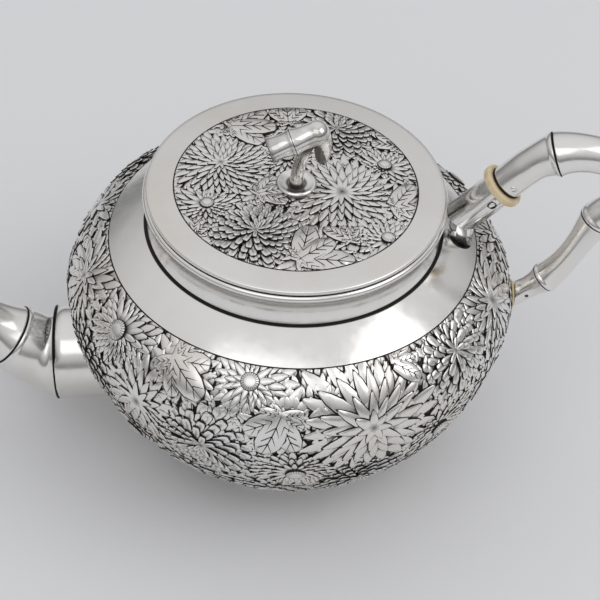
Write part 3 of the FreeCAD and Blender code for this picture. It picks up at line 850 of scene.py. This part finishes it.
def spout_places():
    """The spout's nodes, drawn towards +X."""
    places = [turned(spout_hole, 180)]
    for length, chord in zip(SPOUT_LENGTHS, SPOUT_CHORDS):
        places.append(places[-1] + polar(chord, length))
    return places


def make_spout():
    ends = list(zip(spout_places(), SPOUT_HEADINGS, SPOUT_NODE_RADII))
    for i, node in enumerate(("spout_lower", "spout_middle", "spout_tip"), 1):
        cane(node, ends[i], ends[i + 1], SPOUT_WAIST_RADII[i], wall=SPOUT_WALL, turn=180.0)


# Pieces that keep the shape of their node

def smooth_copy(node, material, body, shade=None):
    """Merged, smooth copy of a node; shade gives the darkness at a point."""
    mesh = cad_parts[node].data.copy()
    add_patina_and_shade(mesh, [shade(np.array(vertex.co) / MM) if shade else 0.0 for vertex in mesh.vertices])
    finish_piece(node + "_dressed", mesh, material, body, (node,))


def insulator_shade(point):
    """Painted shade in the grooves beside the ring."""
    offset = point - socket_end
    radius = np.linalg.norm(offset - socket_axis * (offset @ socket_axis))
    return BLACK if radius < INSULATOR_RADIUS - GROOVE_SHADE_DEPTH else 0.0


def ramp_down(value, reach):
    """One at nought, falling to nought at the reach."""
    return max(0.0, 1 - max(0.0, value) / reach)


# Painted darkness that fades from its full value to nothing over its reach.
def painted_dark_at(distance, darkening):
    shade, reach = darkening
    return shade * ramp_down(distance, reach)


def washer_shade(point):
    """Painted shade round the stem's foot."""
    return painted_dark_at(abs(math.hypot(point[0], point[1]) - STEM_FOOT_RADIUS), WASHER_PAINTED_SHADE)


def stem_shade(point):
    """Painted shade at the foot and under the cane."""
    height = point[2] - lid_top - WASHER_HEIGHT
    below_cane = STEM_HEIGHT - STEM_HEAD_DROP - height
    return STEM_PAINTED_SHADE * max(ramp_down(height, STEM_FOOT_REACH), ramp_down(below_cane, STEM_HEAD_REACH))


def cane_shade(point):
    """Painted shade underneath, and painted dark reflections round the cut end and beside the node."""
    offset = turned(point - cane_centre, -CANE_TURN)
    along = float(offset @ polar(CANE_RISE_ANGLE))
    up = float(offset @ polar(CANE_RISE_ANGLE + 90))
    below = painted_dark_at(up + CANE_NODE_RADIUS, CANE_UNDERSIDE_PAINTED_SHADE) if along < CANE_RIGHT else 0.0
    cut_end = painted_dark_at(along + CANE_LEFT, CANE_END_PAINTED_REFLECTION)
    node = painted_dark_at(abs(along + CANE_LEFT / 2), CANE_NODE_PAINTED_REFLECTION)
    return max(below, cut_end, node)


# Dark lines in the seams, and painted shade in the gaps beside the insulator

def seam_ring(name, centre, axis, radius, body, thickness=FINE_LINE):
    """Fine dark line round an axis, as a thin ring."""
    axis = axis / np.linalg.norm(axis)
    side = np.cross(axis, y_axis if abs(axis[1]) < 0.9 else x_axis)
    side = side / np.linalg.norm(side)
    other = np.cross(axis, side)
    points = []
    for turn in round_angles(SEAM_STEPS):
        outward = math.cos(turn) * side + math.sin(turn) * other
        for roll in round_angles(SEAM_SIDES):
            away = outward * (radius + thickness * math.cos(roll))
            points.append(centre + away + axis * thickness * math.sin(roll))
    piece(name, points, loop_faces(SEAM_STEPS, SEAM_SIDES), polished_silver, body, np.ones(len(points)))


def make_seams():
    """Lines at the finial's node, the insulator's grooves, the post, the spout's root and the pins; those
    in the grooves are painted shade.
    """
    node = cane_centre + polar(CANE_RISE_ANGLE, CANE_NODE_SHARE * (CANE_LEFT + CANE_RIGHT) - CANE_LEFT)
    seam_ring("finial_node_line", turned(node, CANE_TURN), turned(polar(CANE_RISE_ANGLE), CANE_TURN),
              CANE_NODE_RADIUS, "lid")
    groove_middle = GROOVE_WIDTH / 2
    # Painted shade: black rings in the gaps on either side of the insulator.
    for place, name in ((groove_middle, "inner"), (INSULATOR_WIDTH + 3 * groove_middle, "outer")):
        seam_ring("insulator_gap_" + name, socket_end + socket_axis * place, socket_axis,
                  SOCKET_RADIUS - GROOVE_SHADE_LINE_INSET, "pot", GROOVE_SHADE_LINE)
    slope = math.degrees(math.acos((mitre[0] - shoulder_centre[0]) / SHOULDER_ARC))
    seam_ring("post_foot_line", shoulder_centre + polar(slope, SHOULDER_ARC), polar(slope),
              POST_RADIUS * POST_LINE_SPREAD, "pot", POST_LINE)
    root = spout_places()[1]
    seam_ring("spout_root_line", turned(root, 180), turned(polar(SPOUT_HEADINGS[1]), 180),
              SPOUT_NODE_RADII[1], "pot", SPOUT_LINE)
    for side, end in ((-1.0, "front"), (1.0, "back")):
        across = y_axis * side
        pin = socket_end - socket_axis * PIN_INSET + across * SOCKET_RADIUS
        seam_ring("socket_pin_line_" + end, pin, across, PIN_RADIUS * PIN_LINE_SPREAD, "pot", PIN_LINE)
        pin = lower_joint + polar(LOWER_ANGLE, LOWER_PIN_INSET) + across * LOWER_RADIUS
        seam_ring("lower_pin_line_" + end, pin, across, LOWER_PIN_RADIUS * LOWER_PIN_LINE_SPREAD,
                  "pot", LOWER_PIN_LINE)


# Chased ornament: single petals, veins and buttons, which geometry nodes set out in numbers

def ornament_object(name, points, faces, dark):
    mesh = bpy.data.meshes.new(name)
    mesh.from_pydata(points, [], faces)
    add_patina_and_shade(mesh, dark)
    return bpy.data.objects.new(name, mesh)


def strip_faces(rows, count):
    """Faces between rows of points that lie side by side."""
    starts = [i * count + j for i in range(rows - 1) for j in range(count - 1)]
    return [(k, k + count, k + count + 1, k + 1) for k in starts]


def petal_mesh(name, half_width, lift, edge, bend=0.0, hollow=0.0, vein=False):
    """Petal along +X, cut round with a dark line; width and lift are functions of the share along it."""
    flank = [(1 - inset * edge, height, shade) for inset, height, shade in PETAL_FLANK]
    left = [(-side, height, shade) for side, height, shade in flank]
    columns = left + list(VEINED_RIB if vein else PETAL_RIB) + flank[::-1]
    points = []
    dark = []
    for share in PETAL_SHARES:
        arch = math.sin(math.pi * share)
        for side, height, shade in columns:
            inner = abs(side) < 0.5
            dip = hollow * arch if inner else 0.0
            crown = 1 - PETAL_CROWN + PETAL_CROWN * arch
            points.append((share, side * half_width(share) + bend * share * share,
                           (height - dip) * crown + lift(share)))
            if share == 1.0:
                shade = BLACK
            if not vein:
                shade = max(shade, ROOT_SHADE * (1 - share / ROOT_REACH))
            if inner and hollow:
                shade = max(shade, HOLLOW_SHADE * arch ** 2)
            dark.append(shade)
    return ornament_object(name, points, strip_faces(len(PETAL_SHARES), len(columns)), dark)


def stroke_mesh(name):
    """Fine dark stroke along +X, one unit long, tapered to its end."""
    points = []
    for share in VEIN_SHARES:
        half = 0.5 * (1 - VEIN_TAPER * share)
        top = VEIN_TOP * half
        for side, height in ((-half, VEIN_SKIRT), (-top, 1.0), (top, 1.0), (half, VEIN_SKIRT)):
            points.append((share, side, height))
    return ornament_object(name, points, strip_faces(len(VEIN_SHARES), 4), np.ones(len(points)))


def button_mesh(name):
    """Button of a daisy: a dome with fine radial cuts near its edge."""
    points = [(0.0, 0.0, 1.0)]
    dark = [0.0]
    for i, (radius, height) in enumerate(BUTTON_RINGS):
        for k, turn in enumerate(round_angles(BUTTON_STEPS)):
            points.append((radius * math.cos(turn), radius * math.sin(turn), height))
            cut = BUTTON_CUT_SHADE if k % 2 and i in BUTTON_CUT_RINGS else 0.0
            dark.append(BLACK if i in BUTTON_DARK_RINGS else cut)
    faces = [(0, 1 + k, 1 + (k + 1) % BUTTON_STEPS) for k in range(BUTTON_STEPS)]
    for face in loop_faces(len(BUTTON_RINGS), BUTTON_STEPS, False):
        faces.append(tuple(corner + 1 for corner in face))
    return ornament_object(name, points, faces, dark)


def pointed(share):
    """Half width of a narrow petal that runs to a point."""
    return 0.5 * math.sin(math.pi * min(1.0, 0.16 + 0.84 * share ** 0.9)) ** 0.75


def rounded(share):
    """Half width of a petal that widens to a round tip."""
    return 0.5 * (0.42 + 0.58 * share) * math.sqrt(max(0.0, 1 - share ** 5))


def broad(share):
    """Half width of a leaf's lobe."""
    return 0.5 * math.sin(math.pi * min(1.0, 0.2 + 0.8 * share ** 1.4)) ** 0.55


def rising(share):
    """Lift of a petal that rises from its root to its tip."""
    return 0.9 * share - 0.6


def level(share):
    """Lift of a lobe that lies flat."""
    return 0.1


ORNAMENT = {
    "ray_petals": petal_mesh("ray_petal", pointed, rising, edge=0.16, bend=0.08),
    "cupped_petals": petal_mesh("cupped_petal", rounded, rising, edge=0.13, hollow=0.5),
    "leaf_lobes": petal_mesh("leaf_lobe", broad, level, edge=0.08, vein=True),
    "leaf_veins": stroke_mesh("leaf_vein"),
    "daisy_buttons": button_mesh("daisy_button"),
}


def scatter_tree(name):
    """Geometry nodes that set one ornament on every point, turned and sized by the point's attributes."""
    tree = bpy.data.node_groups.new(name, "GeometryNodeTree")
    for socket, kind in (("Geometry", "Geometry"), ("Ornament", "Object"), ("Finish", "Material")):
        tree.interface.new_socket(socket, in_out="INPUT", socket_type="NodeSocket" + kind)
    tree.interface.new_socket("Geometry", in_out="OUTPUT", socket_type="NodeSocketGeometry")
    node = Nodes(tree).node
    given = node("NodeGroupInput").outputs
    inputs = {"Points": given["Geometry"]}
    inputs["Instance"] = node("GeometryNodeObjectInfo", {"Object": given["Ornament"]}).outputs["Geometry"]
    for key, socket in (("turn", "Rotation"), ("size", "Scale")):
        values = node("GeometryNodeInputNamedAttribute", {"Name": key}, data_type="FLOAT_VECTOR")
        inputs[socket] = values.outputs["Attribute"]
    placed = node("GeometryNodeInstanceOnPoints", inputs).outputs["Instances"]
    real = node("GeometryNodeRealizeInstances", {"Geometry": placed}).outputs["Geometry"]
    paint = node("GeometryNodeSetMaterial", {"Geometry": real, "Material": given["Finish"]})
    node("NodeGroupOutput", {"Geometry": paint.outputs["Geometry"]})
    return tree


scatter = scatter_tree("scatter_ornament")


def socket_id(tree, name):
    return next(item.identifier for item in tree.interface.items_tree
                if item.name == name and item.in_out == "INPUT")


def trim_outside(mesh, outside):
    """Deletes the faces that lie wholly outside the chased field."""
    trimmed = bmesh.new()
    trimmed.from_mesh(mesh)
    spare = [face for face in trimmed.faces if all(outside[vertex.index] for vertex in face.verts)]
    bmesh.ops.delete(trimmed, geom=spare, context="FACES")
    trimmed.to_mesh(mesh)
    trimmed.free()


def clear_of_spout(petal):
    """Whether a petal on the body starts outside the spout's hole."""
    place = body_wrap(np.array([petal["at"]]))[0][0]
    return np.linalg.norm(place - spout_hole) > SPOUT_HOLE_RADIUS + SPOUT_HOLE_MARGIN


def raise_ornament(name, kind, placed, wrap, body):
    """Instances one kind of ornament at its flat places and wraps the result onto the silver."""
    mesh = bpy.data.meshes.new(name)
    mesh.from_pydata([p["at"] for p in placed], [], [])
    for key in ("turn", "size"):
        layer = mesh.attributes.new(key, "FLOAT_VECTOR", "POINT")
        layer.data.foreach_set("vector", np.array([p[key] for p in placed], dtype=np.float32).ravel())
    holder = show(name + "_points", mesh)
    modifier = holder.modifiers.new("scatter", "NODES")
    modifier.node_group = scatter
    modifier[socket_id(scatter, "Ornament")] = ORNAMENT[kind]
    modifier[socket_id(scatter, "Finish")] = chased_silver
    made = applied(holder, modifier)
    bpy.data.objects.remove(holder)
    flat = np.empty(len(made.vertices) * 3, dtype=np.float64)
    made.vertices.foreach_get("co", flat)
    wrapped, outside = wrap(flat.reshape(-1, 3))
    made.vertices.foreach_set("co", (wrapped * MM).ravel())
    trim_outside(made, outside)
    made.shade_smooth()
    show_piece(name, made, chased_silver, body)


# Flat layouts of flowers

class Layout:
    """Flat field of flowers. Each one fills its own cell, and its petals reach to the cell's edge."""

    def __init__(self, sites, wide_at, edge_reach, grain, seed):
        self.grain = grain
        self.wide_at = wide_at
        self.edge_reach = edge_reach
        self.random = random.Random(seed)
        self.placed = {kind: [] for kind in ORNAMENT}
        self.turns = np.arange(DIRECTIONS) * 2 * math.pi / DIRECTIONS
        self.steps = np.stack([np.cos(self.turns), np.sin(self.turns)])
        self.places = np.array([(site["x"], site["y"]) for site in sites])
        self.weights = np.array([site["size"] ** 2 for site in sites])

    def measure(self, here):
        """Lengths from a flower's middle to its cell's edge and to the field's border, all round."""
        away = self.places - (here["x"], here["y"])
        away[:, 0] /= self.wide_at(here)
        others = np.any(away != 0.0, axis=1)
        away = away[others]
        share = np.sum(away ** 2, axis=1) + here["size"] ** 2 - self.weights[others]
        facing = away @ self.steps
        limit = np.where(facing > TINY, share[:, None] / (2 * np.maximum(facing, TINY)), FAR)
        border = np.array([self.edge_reach(here, step) for step in self.steps.T])
        cell = np.minimum(np.clip(limit.min(axis=0), 0.0, CELL_LIMIT * here["size"]), border)
        here["border"] = border
        here["cell"] = cell
        here["mean"] = float(cell.mean())

    def reach(self, here, direction, key="cell"):
        return float(np.interp(direction % (2 * math.pi), self.turns, here[key], period=2 * math.pi))

    def put(self, kind, at, heading, size):
        self.placed[kind].append({"at": at, "turn": (0.0, 0.0, heading), "size": size})

    def put_petal(self, kind, here, radius, direction, lift, heading, size):
        """One petal that starts at a radius from its flower's middle."""
        x = here["x"] + radius * math.cos(direction) * self.wide_at(here)
        y = here["y"] + radius * math.sin(direction)
        self.put(kind, (x, y, lift), heading, size)

    def ring(self, kind, here, inner, outer, width, lift, swirl):
        """A ring of petals, side by side, between two shares of the cell's reach."""
        middle = RING_INNER_WEIGHT * inner + RING_OUTER_WEIGHT * outer
        count = max(FEWEST_PETALS, round(2 * math.pi * middle * here["mean"] / width))
        start = self.random.uniform(0, 2 * math.pi)
        for k in range(count):
            direction = start + 2 * math.pi * (k + self.random.uniform(-TURN_JITTER, TURN_JITTER)) / count
            cell = self.reach(here, direction)
            stretch = self.random.uniform(1 - LENGTH_JITTER, 1 + LENGTH_JITTER)
            tip = min(cell * outer * stretch, self.reach(here, direction, "border"))
            root = min(cell * inner, tip)
            if tip - root < SHORTEST_PETAL:
                continue
            beside = 2 * math.pi * middle * cell / count
            size = (tip - root, min(PETAL_OVERLAP * beside, WIDEST_PETAL * width), RELIEF)
            raised = lift + self.random.uniform(-LIFT_JITTER, LIFT_JITTER)
            self.put_petal(kind, here, root, direction, raised, direction + swirl, size)

    def layers(self, kind, here, petal, swirl=0.0):
        """Rings of petals from the cell's edge inwards, each one lying on the ring outside it."""
        width, length, stop = petal
        tip = OUTER_SHARE
        grain = self.grain * max(1.0, here["size"] / LARGE_FLOWER)
        share = length * grain / here["mean"]
        lift = here["order"] - GROUND_DEPTH
        while tip > stop:
            ring_width = width * grain * (1 - LAYER_NARROWING + LAYER_NARROWING * tip)
            self.ring(kind, here, max(0.0, tip - share), tip, ring_width, lift, swirl)
            tip -= LAYER_STEP * share
            lift += LAYER_LIFT

    def spiky(self, here):
        self.layers("ray_petals", here, SPIKY_PETAL, self.random.choice(SPIKY_SWIRLS))

    def daisy(self, here):
        self.layers("ray_petals", here, DAISY_PETAL)
        button = max(BUTTON_RADIUS * self.grain, BUTTON_SHARE * here["mean"])
        size = (button * self.wide_at(here), button, BUTTON_HEIGHT)
        self.put("daisy_buttons", (here["x"], here["y"], BUTTON_LIFT), 0.0, size)

    def incurved(self, here):
        self.layers("cupped_petals", here, INCURVED_PETAL, INCURVED_SWIRL)

    def leaf(self, here):
        """A leaf of seven lobes with their veins, over a ring of petals."""
        self.ring("ray_petals", here, LEAF_RING_INNER, OUTER_SHARE, LEAF_RING_WIDTH * self.grain,
                  here["order"] - GROUND_DEPTH, LEAF_RING_SWIRL)
        cell = here["cell"]
        half = DIRECTIONS // 2
        best = int(np.argmax(cell[:half] + cell[half:]))
        axis = float(self.turns[best])
        base = LEAF_BASE * float(cell[best + half])
        for turn in LEAF_TURNS:
            heading = axis + math.radians(turn)
            length = self.free_length(here, axis, base, heading)
            lift = LEAF_LIFT - LEAF_FALL * abs(turn)
            width = min(LEAF_LOBE_SHARE * length, LEAF_LOBE_WIDTH)
            self.put_petal("leaf_lobes", here, base, axis, lift, heading, (length, width, RELIEF))
            size = (LEAF_VEIN_LENGTH * width, LEAF_VEIN_WIDTH, LEAF_VEIN_HEIGHT)
            for share in LEAF_VEINS:
                radius, direction = self.lobe_point(axis, base, heading, share * length)
                for side in (heading - LEAF_VEIN_LEAN, heading + LEAF_VEIN_LEAN):
                    self.put_petal("leaf_veins", here, radius, direction, lift + RELIEF, side, size)

    def lobe_point(self, axis, base, heading, length):
        """Radius and direction of a point on a lobe, from its leaf's middle."""
        x = base * math.cos(axis) + length * math.cos(heading)
        y = base * math.sin(axis) + length * math.sin(heading)
        return math.hypot(x, y), math.atan2(y, x)

    def free_length(self, here, axis, base, heading):
        """Length of a lobe from a base on the leaf's rib that stays inside the leaf's cell."""
        length = 1.0
        while length < LEAF_REACH * here["size"]:
            radius, direction = self.lobe_point(axis, base, heading, length)
            if radius > LEAF_INSET * self.reach(here, direction):
                break
            length += LEAF_STEP
        return length

    def rows(self, low, high, inside):
        """Rows of small petals under all the flowers, so that no bare ground is left between them."""
        pitch = ROW_PITCH * self.grain
        width = ROW_WIDTH * self.grain
        size = (pitch * ROW_OVERLAP, width, RELIEF)
        for j in range(int((high[1] - low[1]) / pitch)):
            y = low[1] + pitch * (j + 1)
            for i in range(int((high[0] - low[0]) / width)):
                x = low[0] + width * (i + 0.5 * (j % 2))
                if inside(x, y):
                    heading = -math.pi / 2 + self.random.uniform(-ROW_SWAY, ROW_SWAY)
                    self.put("ray_petals", (x, y, -GROUND_DEPTH), heading, size)

    def fill(self, shown):
        for here in shown:
            self.measure(here)
            here["order"] = self.random.uniform(0.0, ORDER_LIFT)
            getattr(self, here["kind"])(here)
        return self.placed


def body_layout():
    """The front's flowers, and the same turned to the back; laps beside them keep the cells closed."""
    round_length = 2 * math.pi * BODY_RADIUS
    sites = []
    for half in (0, 1):
        for turn, depth, size, kind in FRONT_FLOWERS:
            for lap in (-1, 0, 1):
                x = math.radians(turn + 180 * half) * BODY_RADIUS + lap * round_length
                sites.append({"x": x, "y": float(depth), "size": float(size), "kind": kind, "lap": lap})

    def wide_at(site):
        return BODY_RADIUS / float(side_point(site["y"])[0])

    def edge_reach(site, step):
        if step[1] < 0:
            return (site["y"] + BORDER_OVERRUN) / -step[1]
        return (CHASED_DEPTH + BORDER_OVERRUN - site["y"]) / step[1] if step[1] > TINY else FAR

    layout = Layout(sites, wide_at, edge_reach, BODY_GRAIN, SEED)
    layout.rows((0.0, -ROW_PITCH), (round_length, CHASED_DEPTH + ROW_PITCH), lambda x, y: True)
    return layout.fill([site for site in sites if site["lap"] == 0])


def lid_layout():
    sites = [{"x": x, "y": y, "size": float(size), "kind": kind} for x, y, size, kind in LID_FLOWERS]

    def edge_reach(site, step):
        along = site["x"] * step[0] + site["y"] * step[1]
        inside = (MEDALLION_RADIUS + BORDER_OVERRUN) ** 2 - site["x"] ** 2 - site["y"] ** 2
        return -along + math.sqrt(max(0.0, along ** 2 + inside))

    layout = Layout(sites, lambda site: 1.0, edge_reach, LID_GRAIN, SEED + 1)
    reach = MEDALLION_RADIUS + ROW_PITCH * LID_GRAIN
    layout.rows((-reach, -reach), (reach, reach), lambda x, y: math.hypot(x, y) < reach)
    return layout.fill(sites)


def make_ornament():
    fields = (("body", body_layout(), body_wrap, "pot"), ("lid", lid_layout(), lid_wrap, "lid"))
    for part, layout, wrap, body in fields:
        for kind, placed in layout.items():
            if part == "body":
                placed = [petal for petal in placed if clear_of_spout(petal)]
            for first in range(0, len(placed), PIECE_LIMIT):
                name = "%s_%s_%d" % (part, kind, first // PIECE_LIMIT + 1)
                raise_ornament(name, kind, placed[first:first + PIECE_LIMIT], wrap, body)


# The whole object

def dress():
    make_body()
    make_collar()
    make_lid()
    make_handle()
    make_spout()
    make_seams()
    for node in ("foot_ring", "strainer_plate", "spout_root", "handle_post", "upper_socket",
                 "lower_peg", "handle_pins"):
        smooth_copy(node, polished_silver, "pot")
    smooth_copy("upper_insulator", aged_ivory, "pot", insulator_shade)
    smooth_copy("lower_insulator", aged_ivory, "pot")
    for node in ("lid_bezel", "finial_nut"):
        smooth_copy(node, polished_silver, "lid")
    # Painted shade and painted dark reflections on the finial's washer, stem and cane.
    shades = {"finial_washer": washer_shade, "finial_stem": stem_shade, "finial_cane": cane_shade}
    for node, shade in shades.items():
        smooth_copy(node, worn_silver, "lid", shade)
    make_ornament()


# Stage, light and camera

def make_floor():
    mesh = bpy.data.meshes.new("floor")
    half = FLOOR_SIZE / 2
    corners = [(-half, -half, 0), (half, -half, 0), (half, half, 0), (-half, half, 0)]
    mesh.from_pydata(corners, [], [(0, 1, 2, 3)])
    finish = Finish("pale_table")
    finish.feed(finish.shader, {"Base Color": FLOOR_COLOUR, "Roughness": FLOOR_ROUGHNESS})
    mesh.materials.append(finish.material)
    floor = show("floor", mesh)


def make_world():
    """Grey room that brightens from the horizon upwards."""
    world = bpy.data.worlds.new("studio")
    world.use_nodes = True
    studio = Nodes(world.node_tree)
    place = studio.node("ShaderNodeTexCoord").outputs["Generated"]
    height = studio.node("ShaderNodeSeparateXYZ", {"Vector": place}).outputs["Z"]
    ramp = studio.node("ShaderNodeValToRGB", {"Fac": studio.spread(height, (-1.0, 1.0))})
    elements = ramp.color_ramp.elements
    while len(elements) < len(WORLD_STOPS):
        elements.new(0.5)
    for element, (position, brightness) in zip(elements, WORLD_STOPS):
        element.position = position
        element.color = (brightness, brightness, brightness * WORLD_BLUE, 1.0)
    studio.feed(studio.nodes["Background"], {"Color": ramp.outputs["Color"], "Strength": 1.0})
    bpy.context.scene.world = world


def make_lights():
    for name, place, size, power in LAMPS:
        lamp = bpy.data.lights.new(name, "AREA")
        lamp.shape = "RECTANGLE"
        lamp.size, lamp.size_y = size
        lamp.energy = power
        box = show(name, lamp)
        aim = (Vector(LAMP_AIM) - Vector(place)).to_track_quat("-Z", "Y")
        box.matrix_world = Matrix.Translation(place) @ aim.to_matrix().to_4x4()


def make_camera():
    turn = math.radians(CAMERA_AZIMUTH)
    rise = math.radians(CAMERA_ELEVATION)
    roll = math.radians(CAMERA_ROLL)
    back = np.array((math.sin(turn) * math.cos(rise), -math.cos(turn) * math.cos(rise), math.sin(rise)))
    right = np.array((math.cos(turn), math.sin(turn), 0.0))
    up = np.cross(back, right)
    rolled_right = math.cos(roll) * right + math.sin(roll) * up
    rolled_up = -math.sin(roll) * right + math.cos(roll) * up
    axes = Matrix((rolled_right, rolled_up, -back))
    offset = Vector(((LID_PIXEL[0] - PICTURE / 2) / FOCAL_PIXELS,
                     -(LID_PIXEL[1] - PICTURE / 2) / FOCAL_PIXELS, 1.0)).normalized()
    aim = Vector((0, 0, 1)).rotation_difference(offset).to_matrix() @ axes
    place = Vector((0.0, 0.0, lid_edge_top * MM)) + Vector(back) * CAMERA_DISTANCE * MM
    camera_data = bpy.data.cameras.new("camera")
    camera_data.sensor_width = SENSOR
    camera_data.lens = FOCAL_PIXELS / PICTURE * SENSOR
    camera_data.clip_start = NEAREST_SEEN
    camera = show("camera", camera_data)
    basis = Matrix((aim[0], aim[1], -aim[2])).transposed()
    camera.matrix_world = Matrix.Translation(place) @ basis.to_4x4()
    bpy.context.scene.camera = camera


dress()
make_floor()
make_world()
make_lights()
make_camera()
bpy.context.scene.view_settings.view_transform = "Standard"
